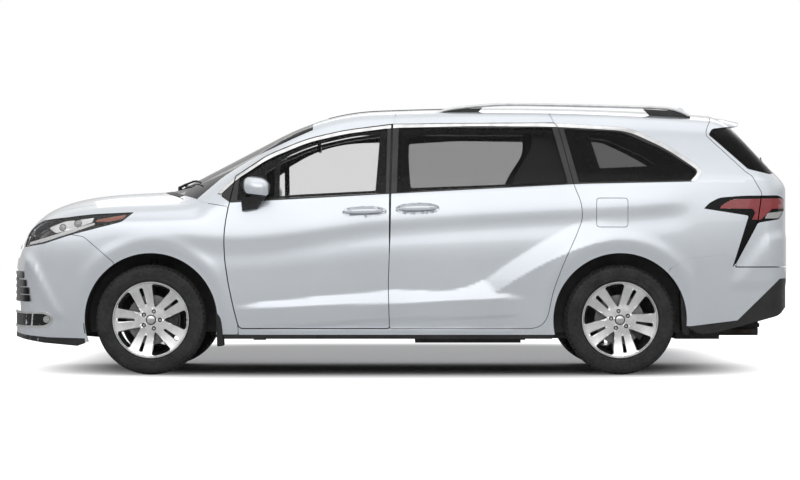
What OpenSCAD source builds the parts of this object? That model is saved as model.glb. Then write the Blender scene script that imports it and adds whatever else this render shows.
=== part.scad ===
// Minivan: front towards -X, left side towards -Y, +Z up, origin on the ground under the middle of the body.

/* [Body] */
// Length over the bumpers
body_len = 5182; // [4300:2:6300]
// Width of the body without its mirrors
body_wid = 1994; // [1660:2:2400]
// Height of the roof skin at its highest point
roof_h = 1772; // [1476:2:2130]
// Thickness of the doors and body sides below the windows
door_wall = 70; // [50:1:90]
// Thickness of the window frames, bonnet, wings and roof
skin_wall = 34; // [24:1:42]
// Thickness of the window glass
glass_t = 5; // [4:1:7]
// Gap round each opening panel
shut_gap = 7; // [6:0.5:9]
// Gap behind the front door's window frame, which swings rearwards as it opens
frame_gap = 14; // [12:1:18]

/* [Wheels] */
// Distance between the axles
wheelbase = 3060; // [2900:10:3160]
// How far the middle of the wheelbase lies ahead of the middle of the body
axle_shift = 95; // [60:5:120]
// Distance between the middles of the left and right tyres
track = 1710; // [1690:2:1722]
// Radius of the standing tyre
tyre_r = 360; // [330:1:375]
// Width of the tyre
tyre_wid = 235; // [195:5:245]
// Radius of the rim under the tyre's bead
rim_r = 250; // [216:1:262]
// Thickness of the rim's barrel
barrel_wall = 12; // [8:1:16]
// Radius of the brake discs
disc_r = 162; // [140:1:176]
// Free space between tyre and wheel arch
arch_gap = 76; // [60:1:84]
// Distance of the steering axis from the middle of the car
kingpin_y = 790; // [770:1:800]

/* [Inside] */
// Diameter of the steering wheel
steer_d = 376; // [340:2:400]
// Width of one front seat
seat_wid = 520; // [440:5:560]
// Thickness of the floor sheet
floor_t = 26; // [20:1:34]
// Height of the floor's top above the ground
floor_z = 330; // [310:1:350]

/* [Plate holder] */
// Distance between the two plate screws
plate_pitch = 178; // [120:1:220]
// Diameter of the plate screw holes
plate_hole_d = 6.6; // [5:0.1:8.4]

/* [Hidden] */
$fn = 48;

paint = [0.86, 0.87, 0.88];
black = [0.07, 0.07, 0.08];
dark_glass = [0.12, 0.13, 0.14];
alloy = [0.76, 0.77, 0.79];
iron = [0.34, 0.34, 0.35];
cloth = [0.34, 0.33, 0.32];
rubber = [0.12, 0.12, 0.13];
lamp_red = [0.62, 0.05, 0.06];

// The body's shape is set out at these sizes, and stretched to the sizes asked for
shape_len = 5182;
shape_wid = 1994;
shape_h = 1772;
sx = body_len / shape_len;
sy = body_wid / shape_wid;
sz = roof_h / shape_h;
half_wid = shape_wid / 2;
half_len = shape_len / 2;
fit_gap = 0.3;
front_x = -wheelbase / 2 - axle_shift;
rear_x = wheelbase / 2 - axle_shift;
arch_r = tyre_r + arch_gap;
liner_r = arch_r + 4;
liner_t = 6;
liner_out_y = 912 * sy;
tyre_y = track / 2;
wide = 1300 * sy;
tall = 2400 * sz;

function sq(v) = v * v;
function smooth_max(a, b, k) = max(a, b) + sq(max(k - abs(a - b), 0)) / (4 * k);
function smooth_min(a, b, k) = -smooth_max(-a, -b, k);

// Belt line below the windows
function belt_z(x) = 1166 + 0.0476 * x;

// Half width of the body at x and z: sill tuck, shoulder, leaning glass, and a taper at each end
widest_z = 780;
sill_tuck = 40;
shoulder_tuck = 38;
glass_lean = 0.36;
glass_curve = 0.00012;
nose_taper = 85;
tail_taper = 55;
taper_run = 1200;
function side_half(x, z) =
    let (
        zb = belt_z(x),
        tuck = z < widest_z
            ? sill_tuck * sq((widest_z - z) / 520)
            : shoulder_tuck * sq((min(z, zb) - widest_z) / (zb - widest_z)),
        above = max(z - zb, 0),
        nose = nose_taper * sq(max(-1150 - x, 0) / taper_run),
        tail = tail_taper * sq(max(x - 1300, 0) / taper_run)
    )
    half_wid - tuck - glass_lean * above - glass_curve * sq(above) - nose - tail;

// Top of the bonnet: a long gentle slope that rolls down into the nose, and falls towards the wings
bonnet_back_z = 1198;
bonnet_roll_x = -1700;
bonnet_roll_len = 900;
bonnet_roll_h = 450;
bonnet_slope = 0.05;
bonnet_crown = 75;
function bonnet_z(x, y) =
    let (u = min(max((bonnet_roll_x - x) / bonnet_roll_len, 0), 1))
    bonnet_back_z + bonnet_slope * (x - bonnet_roll_x) - bonnet_roll_h * (1 - sqrt(1 - pow(u, 3.2)))
    - bonnet_crown * pow(abs(y) / 760, 2.5);

// Signed distances, about in millimetres, positive outside
nose_bow = 105;
tail_bow = 50;
screen_foot_x = -1529;
screen_foot_z = 1207;
screen_slope = 0.516;
screen_bow = 300;
roof_arch = 12.5;
roof_crown = 55;
function outside_nose(x, y, z) =
    -half_len + nose_bow * pow(abs(y) / 750, 2.3) + 0.0009 * sq(max(z - 650, 0)) - x;
function outside_tail(x, y, z) =
    x - smooth_min(half_len, 2496 - 0.94 * (z - 1345), 40) + tail_bow * pow(abs(y) / 700, 2.4);
function outside_screen(x, y, z) =
    0.459 * (screen_foot_x + (z - screen_foot_z) / screen_slope
        + (screen_bow - 0.45 * (z - 1184)) * sq(y / 850) - x);
function outside_roof(x, y, z) =
    z - shape_h + roof_arch * sq((x - 650) / 700) + roof_crown * pow(abs(y) / 700, 2.5);
function outside_body(x, y, z) =
    let (
        upper = smooth_max(outside_screen(x, y, z), outside_roof(x, y, z), 150),
        top = smooth_min(z - bonnet_z(x, y), upper, 30),
        sides = smooth_max(abs(y) - side_half(x, z), top, 100),
        ends = max(outside_nose(x, y, z), outside_tail(x, y, z))
    )
    smooth_max(sides, ends, 90);

// The skin is found along rays from a core line inside the body, which fan out at both ends
core_front = [-1750, 0, 640];
core_rear = [2050, 0, 860];
reach = 1500;
under_z = 140;
mid_rings = 28;
fan_rings = 7;
half_around = 20;
around = 2 * half_around;
function off_skin(p, level) = max(outside_body(p[0], p[1], p[2]) - level, under_z - level - p[2]);
function halved(from, way, level, near, far, n) =
    n == 0 ? closed_in(from, way, level, near, off_skin(from + near * way, level), far, off_skin(from + far * way, level), 4)
    : let (m = (near + far) / 2)
        off_skin(from + m * way, level) > 0 ? halved(from, way, level, near, m, n - 1)
        : halved(from, way, level, m, far, n - 1);
function closed_in(from, way, level, near, below, far, above, n) =
    let (m = near + (far - near) * below / (below - above))
    n == 0 ? from + m * way
    : let (f = off_skin(from + m * way, level))
        f > 0 ? closed_in(from, way, level, near, below, m, f, n - 1)
        : closed_in(from, way, level, m, f, far, above, n - 1);
function skin_hit(from, way, level) = halved(from, way, level, 0, reach, 3);
function around_way(j, lean, forward) =
    let (a = -90 + 180 * j / half_around)
    [forward * sin(lean), cos(lean) * cos(a), cos(lean) * sin(a)];
function to_size(p) = [p[0] * sx, p[1] * sy, p[2] * sz];
function skin_ring(from, lean, forward, level) =
    let (half = [for (j = [0:half_around]) to_size(skin_hit(from, around_way(j, lean, forward), level))])
    concat(half, [for (j = [half_around - 1:-1:1]) [half[j][0], -half[j][1], half[j][2]]]);

// Closed solid of the whole body, grown or shrunk by a distance from its skin
module body_solid(grown = 0) {
    level = grown / sy;
    lean_step = 90 / fan_rings;
    rings = concat(
        [for (i = [1:fan_rings - 1]) skin_ring(core_front, 90 - i * lean_step, -1, level)],
        [for (i = [0:mid_rings]) skin_ring(core_front + (core_rear - core_front) * i / mid_rings, 0, 1, level)],
        [for (i = [1:fan_rings - 1]) skin_ring(core_rear, i * lean_step, 1, level)]
    );
    count = len(rings);
    nose = to_size(skin_hit(core_front, [-1, 0, 0], level));
    tail = to_size(skin_hit(core_rear, [1, 0, 0], level));
    points = concat([nose], [for (r = rings) each r], [tail]);
    last = len(points) - 1;
    faces = concat(
        [for (j = [0:around - 1]) [0, 1 + j, 1 + (j + 1) % around]],
        [for (i = [0:count - 2], j = [0:around - 1])
            let (a = 1 + i * around + j, b = 1 + i * around + (j + 1) % around)
            [a, b + around, b]],
        [for (i = [0:count - 2], j = [0:around - 1])
            let (a = 1 + i * around + j, b = 1 + i * around + (j + 1) % around)
            [a, a + around, b + around]],
        [for (j = [0:around - 1])
            [last, last - around + (j + 1) % around, last - around + j]]
    );
    polyhedron(points, faces, convexity = 8);
}

// Layer of the body between two distances from its skin
module layer(outer, inner) {
    difference() {
        body_solid(outer);
        body_solid(inner);
    }
}

// A shape that comes back as one mesh
module one_mesh() {
    resize([0, 0, 0])
        children();
}

// Right-hand pieces are left-hand ones mirrored
module on_side(right) {
    mirror([0, right ? 1 : 0, 0])
        children();
}

module both_sides() {
    on_side(false)
        children();
    on_side(true)
        children();
}

// Outline drawn in the side view, grown by an offset, extruded over a range of distances from the middle
module side_prism(outline, y0, y1, grow = 0) {
    rotate([90, 0, 0])
        translate([0, 0, y0])
            linear_extrude(y1 - y0)
                offset(delta = grow)
                    scale([sx, sz])
                        polygon(outline);
}

// Outline drawn in the plan view, over a range of heights
module plan_prism(outline, z0, z1, grow = 0) {
    translate([0, 0, z0])
        linear_extrude(z1 - z0)
            offset(delta = grow)
                scale([sx, sy])
                    polygon(outline);
}

// Outline of y and z drawn in the end view, over a range of x
module end_prism(outline, x0, x1, grow = 0) {
    translate([x0, 0, 0])
        rotate([90, 0, 90])
            linear_extrude(x1 - x0)
                offset(delta = grow)
                    scale([sy, sz])
                        polygon(outline);
}

module wheel_axis(x, y0, y1, r) {
    translate([x, -y0, tyre_r])
        rotate([90, 0, 0])
            cylinder(r = r, h = y1 - y0);
}

// Side-view outlines, x and z
door_front_edge = [[-1051, 304], [-1088, 450], [-1118, 595], [-1140, 740], [-1146, 840], [-1145, 930], [-1134, 1020], [-1118, 1100]];
window_top = [[-1076, 1300], [-868, 1440], [-612, 1546], [-362, 1604], [-46, 1644]];
pillar_line = [[-46, 1644], [-59, 1167], [-63, 927], [-76, 595], [-68, 304]];
front_door_outline = concat(door_front_edge, window_top, [for (i = [1:4]) pillar_line[i]]);
slide_rear_edge = [[1013, 1652], [1040, 1620], [1137, 1229], [1182, 1126], [1189, 1018], [1154, 927],
    [1063, 727], [996, 544], [963, 378], [922, 322], [860, 304]];
sliding_door_outline = concat([for (i = [4:-1:0]) pillar_line[i]], slide_rear_edge);
front_glass_outline = [[-1062, 1140], [-1052, 1290], [-856, 1416], [-606, 1522], [-358, 1580], [-82, 1616], [-92, 1188]];
slide_glass_outline = [[-22, 1192], [-8, 1620], [1000, 1618], [1096, 1250]];
quarter_glass_outline = [[1075, 1612], [1455, 1592], [1736, 1468], [1930, 1338], [1936, 1306], [1895, 1272], [1168, 1258]];
tailgate_outline = [[2066, 1900], [2062, 1700], [2012, 1610], [2006, 1566], [2262, 1322], [2298, 1300], [2362, 1186],
    [2333, 994], [2185, 723], [2190, 705], [2800, 705], [2800, 1900]];
rear_glass_outline = [[2026, 1572], [2050, 1612], [2216, 1634], [2420, 1634], [2620, 1352], [2486, 1337],
    [2422, 1310], [2275, 1345]];
tail_lamp_outline = [[1981, 1086], [2019, 1124], [2084, 1157], [2239, 1170], [2475, 1172], [2521, 1144], [2521, 1084],
    [2479, 1018], [2333, 994], [2185, 723], [2169, 707], [2275, 1040]];
rear_bumper_outline = [[1754, 692], [1878, 762], [2159, 788], [2182, 730], [2188, 703], [2800, 703], [2800, 434],
    [2525, 434], [2479, 388], [2067, 276], [1960, 265], [1894, 303], [1754, 360]];
screen_outline = [[-1900, 1290], [-1600, 1224], [-1330, 1150], [-1150, 1310], [-930, 1440], [-700, 1550], [-575, 1606],
    [-575, 1900], [-1900, 1900]];
headlamp_outline = [[-1740, 1062], [-2000, 1050], [-2365, 1008], [-2462, 946], [-2478, 832], [-2330, 856],
    [-2150, 915], [-1816, 1000]];
wing_outline = concat([[-1056, 262]], door_front_edge, [[-1290, 1128], [-1450, 1165], [-2365, 1300], [-2365, 1008],
    [-2150, 915], [-2065, 901], [-1870, 735], [-1870, 262]]);
front_bumper_outline = [[-2700, 251], [-2500, 236], [-2135, 190], [-1870, 260], [-1870, 735], [-2065, 901], [-2150, 915],
    [-2365, 1008], [-2365, 1300], [-2700, 1300]];
body_side_outline = concat([[-1052, 263], [-1056, 400]], door_front_edge,
    [[-1290, 1128], [-1330, 1150], [-1150, 1310], [-930, 1440], [-700, 1550], [-575, 1606], [-575, 1900],
    [2066, 1900], [2062, 1700], [2012, 1610], [2006, 1566], [2262, 1322], [2298, 1300], [2362, 1186], [2333, 994],
    [2185, 723], [2159, 788], [1878, 762], [1754, 692], [1754, 263]]);
flap_outline = [[1282, 967], [1483, 967], [1483, 1153], [1282, 1153]];
spoiler_outline = [[2090, 1690], [2180, 1712], [2286, 1673], [2280, 1655], [2200, 1630], [2090, 1640]];

// Plan-view outlines, x and y
bonnet_half = [[-1610, 0], [-1590, 250], [-1530, 500], [-1432, 730], [-1800, 735], [-2150, 690], [-2370, 590], [-2440, 400],
    [-2476, 180], [-2484, 0]];
bonnet_outline = concat(bonnet_half, [for (i = [len(bonnet_half) - 2:-1:1]) [bonnet_half[i][0], -bonnet_half[i][1]]]);
roof_half_wid = 640;

module arches(r, inner_y) {
    both_sides()
        for (x = [front_x, rear_x]) {
            wheel_axis(x, inner_y, wide, r);
            wheel_axis(x, inner_y, liner_out_y + fit_gap, (liner_r + liner_t + fit_gap) / cos(180 / $fn));
        }
}

module roof_zone(grow = 0, back = 0) {
    translate([-575 * sx + grow, -roof_half_wid * sy + grow, 1580 * sz])
        cube([(2062 + 575) * sx - shut_gap - 2 * grow + back, 2 * (roof_half_wid * sy - grow), tall]);
}

module above_belt() {
    side_prism([[-1500, belt_z(-1500)], [-1500, 2000], [2100, 2000], [2100, belt_z(2100)]], -wide, wide);
}

// Everything of the window frames that lies deeper than the thin frame wall
module deep_frames() {
    intersection() {
        body_solid(-skin_wall);
        above_belt();
    }
}

// Pocket behind the fuel flap, and the pad that its front edge turns on
pocket_depth = 44;
flap_t = 12;
module flap_pocket() {
    intersection() {
        layer(20, -pocket_depth);
        side_prism(flap_outline, 300 * sy, wide, shut_gap);
    }
}

module flap_hinge_pad() {
    intersection() {
        layer(-5, -pocket_depth - 6);
        translate([flap_outline[0][0] * sx - shut_gap - 2, -wide, 1010 * sz])
            cube([shut_gap + 2 - fit_gap, wide, 90 * sz]);
    }
}

// Pads in the gap ahead of the front door, where its hinges sit
hinge_heights = [470, 1010];
module door_hinge_pads() {
    intersection() {
        layer(-26, -door_wall);
        difference() {
            side_prism(front_door_outline, 300 * sy, wide, shut_gap / 2 + 4);
            side_prism(front_door_outline, 300 * sy, wide, -shut_gap / 2 + fit_gap);
        }
        for (z = hinge_heights)
            translate([-1300 * sx, -wide, z * sz])
                cube([300 * sx, wide, 80]);
    }
}

sill_in_y = 860 * sy;
module body_side(right) {
    color(paint)
        on_side(right)
            one_mesh()
                union() {
                    difference() {
                        intersection() {
                            layer(0, -door_wall);
                            side_prism(body_side_outline, 400 * sy, wide, -fit_gap);
                        }
                        side_prism(front_door_outline, 300 * sy, wide, shut_gap / 2);
                        side_prism(sliding_door_outline, 300 * sy, wide, fit_gap);
                        side_prism(quarter_glass_outline, 300 * sy, wide);
                        side_prism(tail_lamp_outline, 300 * sy, wide, fit_gap);
                        arches(arch_r, 300 * sy);
                        roof_zone(back = 20);
                        deep_frames();
                        translate([-1200 * sx, -sill_in_y, 0])
                            cube([2300 * sx, sill_in_y, 400]);
                        if (!right)
                            flap_pocket();
                    }
                    if (!right)
                        flap_hinge_pad();
                    translate([-1040 * sx, -sill_in_y - 50, 262 * sz])
                        cube([(1040 + 950) * sx, 50, 38 * sz]);
                }
}

module roof_panel() {
    color(paint)
        one_mesh()
            difference() {
                intersection() {
                    layer(0, -skin_wall);
                    roof_zone(fit_gap);
                }
                side_prism(tailgate_outline, -wide, wide, shut_gap / 2);
            }
}

module wing(right) {
    color(paint)
        on_side(right)
            one_mesh()
                union() {
                    difference() {
                        intersection() {
                            layer(0, -skin_wall);
                            side_prism(wing_outline, 300 * sy, wide, -shut_gap / 2);
                        }
                        side_prism(headlamp_outline, 300 * sy, wide, fit_gap);
                        plan_prism(bonnet_outline, 900 * sz, tall, shut_gap);
                        side_prism(screen_outline, 0, wide, 60);
                        arches(arch_r, 300 * sy);
                    }
                    door_hinge_pads();
                }
}

module bonnet() {
    color(paint)
        one_mesh()
            intersection() {
                layer(0, -skin_wall);
                plan_prism(bonnet_outline, 900 * sz, tall);
            }
}

grille_upper = [[-560, 905], [-590, 800], [-540, 760], [540, 760], [590, 800], [560, 905]];
grille_lower = [[-520, 690], [-700, 420], [-640, 320], [640, 320], [700, 420], [520, 690]];
module grille_zone(grow = 0) {
    end_prism(grille_upper, -2800 * sx, -2200 * sx, grow);
    end_prism(grille_lower, -2800 * sx, -2200 * sx, grow);
}

module front_bumper() {
    color(paint)
        one_mesh()
            difference() {
                intersection() {
                    layer(0, -skin_wall);
                    side_prism(front_bumper_outline, -wide, wide, -fit_gap);
                }
                both_sides()
                    side_prism(headlamp_outline, 300 * sy, wide, fit_gap);
                plan_prism(bonnet_outline, 900 * sz, tall, shut_gap + 3);
                grille_zone();
                arches(arch_r, 300 * sy);
            }
}

module grille() {
    color(black)
        one_mesh()
            difference() {
                intersection() {
                    layer(-6, -skin_wall);
                    grille_zone(-fit_gap);
                }
                plan_prism(bonnet_outline, 894 * sz, tall, shut_gap + 3);
            }
}

module headlamps() {
    color([0.8, 0.82, 0.85])
        both_sides()
            one_mesh()
                difference() {
                    intersection() {
                        layer(0, -door_wall);
                        side_prism(headlamp_outline, 330 * sy, wide);
                    }
                    grille_zone();
                    plan_prism(bonnet_outline, 900 * sz, tall, shut_gap + 3);
                }
}

module cowl_panel() {
    color(black)
        one_mesh()
            difference() {
                intersection() {
                    layer(0, -skin_wall);
                    plan_prism([[-1650, -800], [-1200, -800], [-1200, 800], [-1650, 800]], 1050 * sz, 1300 * sz);
                }
                plan_prism(bonnet_outline, 900 * sz, tall, shut_gap);
                side_prism(screen_outline, -wide, wide, fit_gap);
                both_sides() {
                    side_prism(body_side_outline, 400 * sy, wide, fit_gap);
                    difference() {
                        side_prism(wing_outline, 300 * sy, wide);
                        side_prism(screen_outline, 0, wide, 60);
                    }
                }
            }
}

module windscreen() {
    color(dark_glass)
        one_mesh()
            difference() {
                intersection() {
                    layer(-3, -3 - glass_t);
                    side_prism(screen_outline, -wide, wide, -fit_gap);
                }
                roof_zone(-fit_gap);
            }
}

// Handle: a bar that stands off the door on its two feet
module door_handle(x, z, length) {
    y = side_half(x, z) * sy;
    for (dx = [-length / 2 + 14, length / 2 - 14])
        translate([x * sx + dx - 10, -y - 26, z * sz - 12])
            cube([20, 50, 24]);
    translate([x * sx - length / 2, -y - 36, z * sz - 15])
        cube([length, 13, 30]);
}

mirror_z = 1222;
mirror_x = -925;
module door_mirror() {
    y = side_half(mirror_x, mirror_z) * sy;
    translate([mirror_x * sx, -y, mirror_z * sz]) {
        hull() {
            translate([-60, -60, -60])
                sphere(r = 26, $fn = 16);
            translate([-60, -60, 44])
                sphere(r = 26, $fn = 16);
            translate([70, -70, -50])
                cube([10, 20, 108]);
            translate([-30, -190, -52])
                sphere(r = 24, $fn = 16);
            translate([-30, -190, 30])
                sphere(r = 26, $fn = 16);
            translate([70, -200, -56])
                cube([10, 16, 96]);
        }
        translate([-70, -110, -104])
            cube([110, 190, 24]);
        translate([-30, -90, -104])
            cube([60, 40, 60]);
    }
}

module front_door(right) {
    color(paint)
        on_side(right)
            one_mesh()
                union() {
                    difference() {
                        intersection() {
                            layer(0, -door_wall);
                            side_prism(front_door_outline, 300 * sy, wide, -shut_gap / 2);
                        }
                        side_prism(front_glass_outline, 300 * sy, wide);
                        deep_frames();
                        rear_frame_gap();
                    }
                    difference() {
                        union() {
                            door_mirror();
                            door_handle(-235, 1066, 250);
                        }
                        body_solid(-skin_wall);
                    }
                }
}

// The front door's rear edge stands further from the pillar towards the top, where it swings rearwards
module rear_frame_gap() {
    side_prism([[-46, 1700], [-46 - frame_gap, 1700], [-59 - frame_gap, 1167], [-72, 500], [-68, 300], [0, 300], [0, 1700]],
        300 * sy, wide);
}

module front_window(right) {
    color(dark_glass)
        on_side(right)
            one_mesh()
                intersection() {
                    layer(-3, -3 - glass_t);
                    side_prism(front_glass_outline, 300 * sy, wide, -fit_gap);
                }
}

module sliding_door(right) {
    color(paint)
        on_side(right)
            one_mesh()
                union() {
                    difference() {
                        intersection() {
                            layer(0, -door_wall);
                            side_prism(sliding_door_outline, 300 * sy, wide, -fit_gap);
                        }
                        side_prism(slide_glass_outline, 300 * sy, wide);
                        deep_frames();
                    }
                    difference() {
                        door_handle(115, 1086, 250);
                        body_solid(-skin_wall);
                    }
                }
}

module side_windows() {
    color(dark_glass)
        both_sides()
            for (outline = [slide_glass_outline, quarter_glass_outline])
                one_mesh()
                    intersection() {
                        layer(-3, -3 - glass_t);
                        side_prism(outline, 300 * sy, wide, -fit_gap);
                    }
}

plate_z = 862;
plate_size = [8, 520, 130];
plate_pocket = 12;
module tailgate() {
    color(paint)
        one_mesh()
            difference() {
                union() {
                    intersection() {
                        layer(0, -skin_wall - 16);
                        side_prism(tailgate_outline, -wide, wide, -shut_gap / 2);
                    }
                    difference() {
                        side_prism(spoiler_outline, -600 * sy, 600 * sy);
                        body_solid(-skin_wall);
                    }
                }
                side_prism(rear_glass_outline, -wide, wide);
                both_sides()
                    side_prism(tail_lamp_outline, 300 * sy, wide, fit_gap);
                translate([half_len * sx - plate_pocket, -plate_size[1] / 2 - 10, plate_z * sz - plate_size[2] / 2 - 10])
                    cube([100, plate_size[1] + 20, plate_size[2] + 20]);
            }
}

module plate_holder() {
    color(black)
        translate([half_len * sx - plate_pocket + fit_gap, 0, plate_z * sz])
            difference() {
                translate([0, -plate_size[1] / 2, -plate_size[2] / 2])
                    cube(plate_size);
                for (y = [-plate_pitch / 2, plate_pitch / 2])
                    translate([-5, y, 0])
                        rotate([0, 90, 0])
                            cylinder(d = plate_hole_d, h = 20);
            }
}

module rear_window() {
    color(dark_glass)
        one_mesh()
            intersection() {
                layer(-3, -3 - glass_t);
                side_prism(rear_glass_outline, -wide, wide, -fit_gap);
            }
}

module tail_lamps() {
    color(lamp_red)
        both_sides()
            one_mesh()
                difference() {
                    intersection() {
                        layer(0, -door_wall + 10);
                        side_prism(tail_lamp_outline, 300 * sy, wide);
                    }
                    side_prism(tailgate_outline, -wide, wide, shut_gap / 2);
                }
}

module tailgate_lamps() {
    color(lamp_red)
        both_sides()
            one_mesh()
                intersection() {
                    layer(0, -skin_wall - 10);
                    side_prism(tail_lamp_outline, 300 * sy, wide);
                    side_prism(tailgate_outline, -wide, wide, -shut_gap / 2);
                }
}

module rear_bumper() {
    color(paint)
        one_mesh()
            difference() {
                intersection() {
                    layer(0, -skin_wall - 10);
                    side_prism(rear_bumper_outline, -wide, wide, -fit_gap);
                }
                side_prism(tailgate_outline, -wide, wide, shut_gap / 2);
                both_sides()
                    side_prism(tail_lamp_outline, 300 * sy, wide, fit_gap);
                arches(arch_r, 300 * sy);
            }
}

rail_outline = [[220, 1700], [220, 1741], [330, 1765], [540, 1784], [726, 1792], [1773, 1766], [1850, 1738], [1916, 1712],
    [1916, 1640], [1640, 1640], [1640, 1735], [1500, 1752], [726, 1772], [540, 1760], [480, 1700]];
rail_y = 618;
rail_wid = 30;
module roof_rails() {
    color(alloy)
        both_sides()
            one_mesh()
                difference() {
                    side_prism(rail_outline, rail_y * sy - rail_wid / 2, rail_y * sy + rail_wid / 2);
                    body_solid(fit_gap);
                }
}

// Wiper: a strip drawn between two heights along points of x and y, to be laid just off the skin
module wiper_strip(points, z0, z1) {
    for (i = [0:len(points) - 2])
        hull()
            for (p = [points[i], points[i + 1]])
                translate([p[0] * sx, p[1] * sy, z0 * sz])
                    cylinder(r = 9, h = (z1 - z0) * sz, $fn = 8);
}

wiper_lift = 15;
wiper_runs = [
    [[-1325, -580], [-1392, -300], [-1452, 40]],
    [[-1462, 80], [-1410, 350], [-1300, 640]]
];
module wipers() {
    color(black)
        one_mesh()
            intersection() {
                layer(wiper_lift, -3 + fit_gap);
                for (points = wiper_runs)
                    wiper_strip(points, 1100, 1500);
            }
}

module rear_wiper() {
    color(black)
        one_mesh()
            intersection() {
                layer(wiper_lift, -3 + fit_gap);
                wiper_strip([[2482, 0], [2460, -60], [2412, -400]], 1250, 1500);
            }
}

module sill_trims() {
    color(black)
        both_sides()
            one_mesh()
                intersection() {
                    layer(0, -door_wall);
                    side_prism([[-1150, 236], [-1150, 262], [992, 262], [992, 236]], sill_in_y, wide);
                }
}

module mud_flaps() {
    color(black)
        both_sides() {
            translate([front_x + liner_r + liner_t + fit_gap, -912 * sy, 190])
                cube([8, 140, 240]);
            translate([rear_x + liner_r + liner_t + fit_gap, -905 * sy, 262])
                cube([8, 140, 200]);
        }
}

module fuel_flap() {
    color(paint)
        one_mesh()
            intersection() {
                layer(0, -flap_t);
                side_prism(flap_outline, 300 * sy, wide);
            }
}

rail_out_y = 524;
axle_r = 60;
beam_x = rear_x - 215;
beam_r = 45;
module rear_beam(grow) {
    translate([beam_x, 0, tyre_r - 30])
        rotate([90, 0, 0])
            cylinder(r = beam_r + grow, h = 1180 + 2 * grow, center = true);
}

module floor_pan() {
    color(iron)
        difference() {
            floor_shape();
            rear_beam(fit_gap);
            both_sides()
                wheel_axis(rear_x, 600 - fit_gap, 700, axle_r + fit_gap);
        }
}

module floor_shape() {
    under = floor_z - floor_t;
    union() {
        intersection() {
            rear_beam(14);
            translate([0, -1000, under])
                cube([3000, 2000, 200]);
        }
        translate([-1130 * sx, -sill_in_y + fit_gap, under])
            cube([(1130 + 950) * sx, 2 * (sill_in_y - fit_gap), floor_t]);
        translate([940 * sx, -640, under])
            cube([(2380 - 940) * sx, 1280, floor_t]);
        translate([2340 * sx, -560, under])
            cube([40, 1120, 190]);
        for (s = [-1, 1]) {
            translate([-2440 * sx, s * (rail_out_y - 35) - 35, 470])
                cube([(2440 - 1180) * sx, 70, 90]);
            translate([-1260 * sx, s * (rail_out_y - 35) - 35, under])
                cube([220 * sx, 70, 560 - under]);
            for (x = [-920, 780])
                translate([x * sx - 40, s * 830 * sy - 25, 226])
                    cube([80, 50, under - 226 + 1]);
        }
        translate([-2480 * sx, -620, 450])
            cube([60, 1240, 120]);
    }
}

bulkhead_x = -1130;
bulkhead_t = 24;
module bulkhead() {
    color(iron)
        difference() {
            translate([bulkhead_x * sx, -840 * sy, floor_z + fit_gap])
                cube([bulkhead_t, 1680 * sy, 740 * sz - 60]);
            for (s = [-1, 1])
                translate([-1300 * sx, s * (rail_out_y - 35) - 35 - fit_gap, 0])
                    cube([400 * sx, 70 + 2 * fit_gap, 560 + fit_gap]);
        }
}

module arch_liners() {
    color(black)
        both_sides()
            for (spot = [[front_x, rail_out_y + 6], [rear_x, 668]])
                difference() {
                    wheel_axis(spot[0], spot[1], liner_out_y, liner_r + liner_t);
                    wheel_axis(spot[0], spot[1] + liner_t, 1000 * sy, liner_r);
                    wheel_axis(rear_x, 600, 700, axle_r + fit_gap);
                    translate([spot[0] - 500, -1000 * sy, -100])
                        cube([1000, 1000 * sy, 100 + tyre_r - 90]);
                }
}

dash_outline = [[-1330, 1120], [-1090, 1136], [-820, 1110], [-745, 1060], [-740, 880], [-820, 820], [-830, 640], [-1080, 600], [-1090, 1000], [-1330, 1070]];
module dashboard() {
    color([0.2, 0.2, 0.21])
        difference() {
            one_mesh()
                difference() {
                    side_prism(dash_outline, -790 * sy, 790 * sy);
                    translate([-2000 * sx, -wide, 500])
                        cube([(2000 + bulkhead_x) * sx + bulkhead_t + fit_gap, 2 * wide, 700 * sz]);
                }
            column_shape(150, fit_gap);
        }
}

steer_pos = [-590, -370, 985];
steer_lean = 64;
module at_steer() {
    translate([steer_pos[0] * sx, steer_pos[1] * sy, steer_pos[2] * sz])
        rotate([0, steer_lean, 0])
            children();
}

// Space round the steering shaft
module column_shape(length, gap) {
    at_steer()
        translate([0, 0, -length - 60])
            cylinder(r = 24 + gap, h = length + 60);
}

module steering_wheel() {
    color(black)
        at_steer()
            union() {
                rotate_extrude()
                    translate([steer_d / 2 - 14, 0])
                        circle(r = 14, $fn = 24);
                translate([0, 0, -40])
                    cylinder(r = 62, h = 46);
                translate([0, 0, -205])
                    cylinder(r = 23.7, h = 180);
                for (a = [0, 180, 270])
                    rotate([0, 0, a])
                        translate([0, -18, -14])
                            cube([steer_d / 2 - 14, 36, 14]);
            }
}

// Seat: a cushion, a back and a head restraint in one rounded profile, on a plinth
module seat(x, y, width, depth = 500) {
    base_top = 640;
    translate([x * sx, y * sy + width / 2, 0])
        rotate([90, 0, 0])
            linear_extrude(width)
                offset(r = 30)
                    polygon([[-depth, base_top - 130], [-depth, base_top + 10], [-60, base_top - 40], [60, base_top + 560],
                        [170, base_top + 560], [60, base_top - 130]]);
    translate([x * sx - depth + 60, y * sy - width / 2 + 60, floor_z + fit_gap])
        cube([depth - 60, width - 120, base_top - 155 - floor_z]);
    translate([x * sx + 90, y * sy - 130, base_top + 580])
        cube([90, 260, 200]);
}

module front_seats() {
    color(cloth)
        for (y = [-390, 390])
            seat(-170, y, seat_wid);
}

module middle_seats() {
    color(cloth)
        for (y = [-390, 390])
            seat(760, y, seat_wid);
}

module rear_seats() {
    color(cloth)
        for (y = [-320, 320])
            seat(1780, y, 600, 480);
}

module engine_block() {
    color(iron)
        translate([-2150 * sx, -400, 330])
            cube([620, 800, 540]);
}

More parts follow.
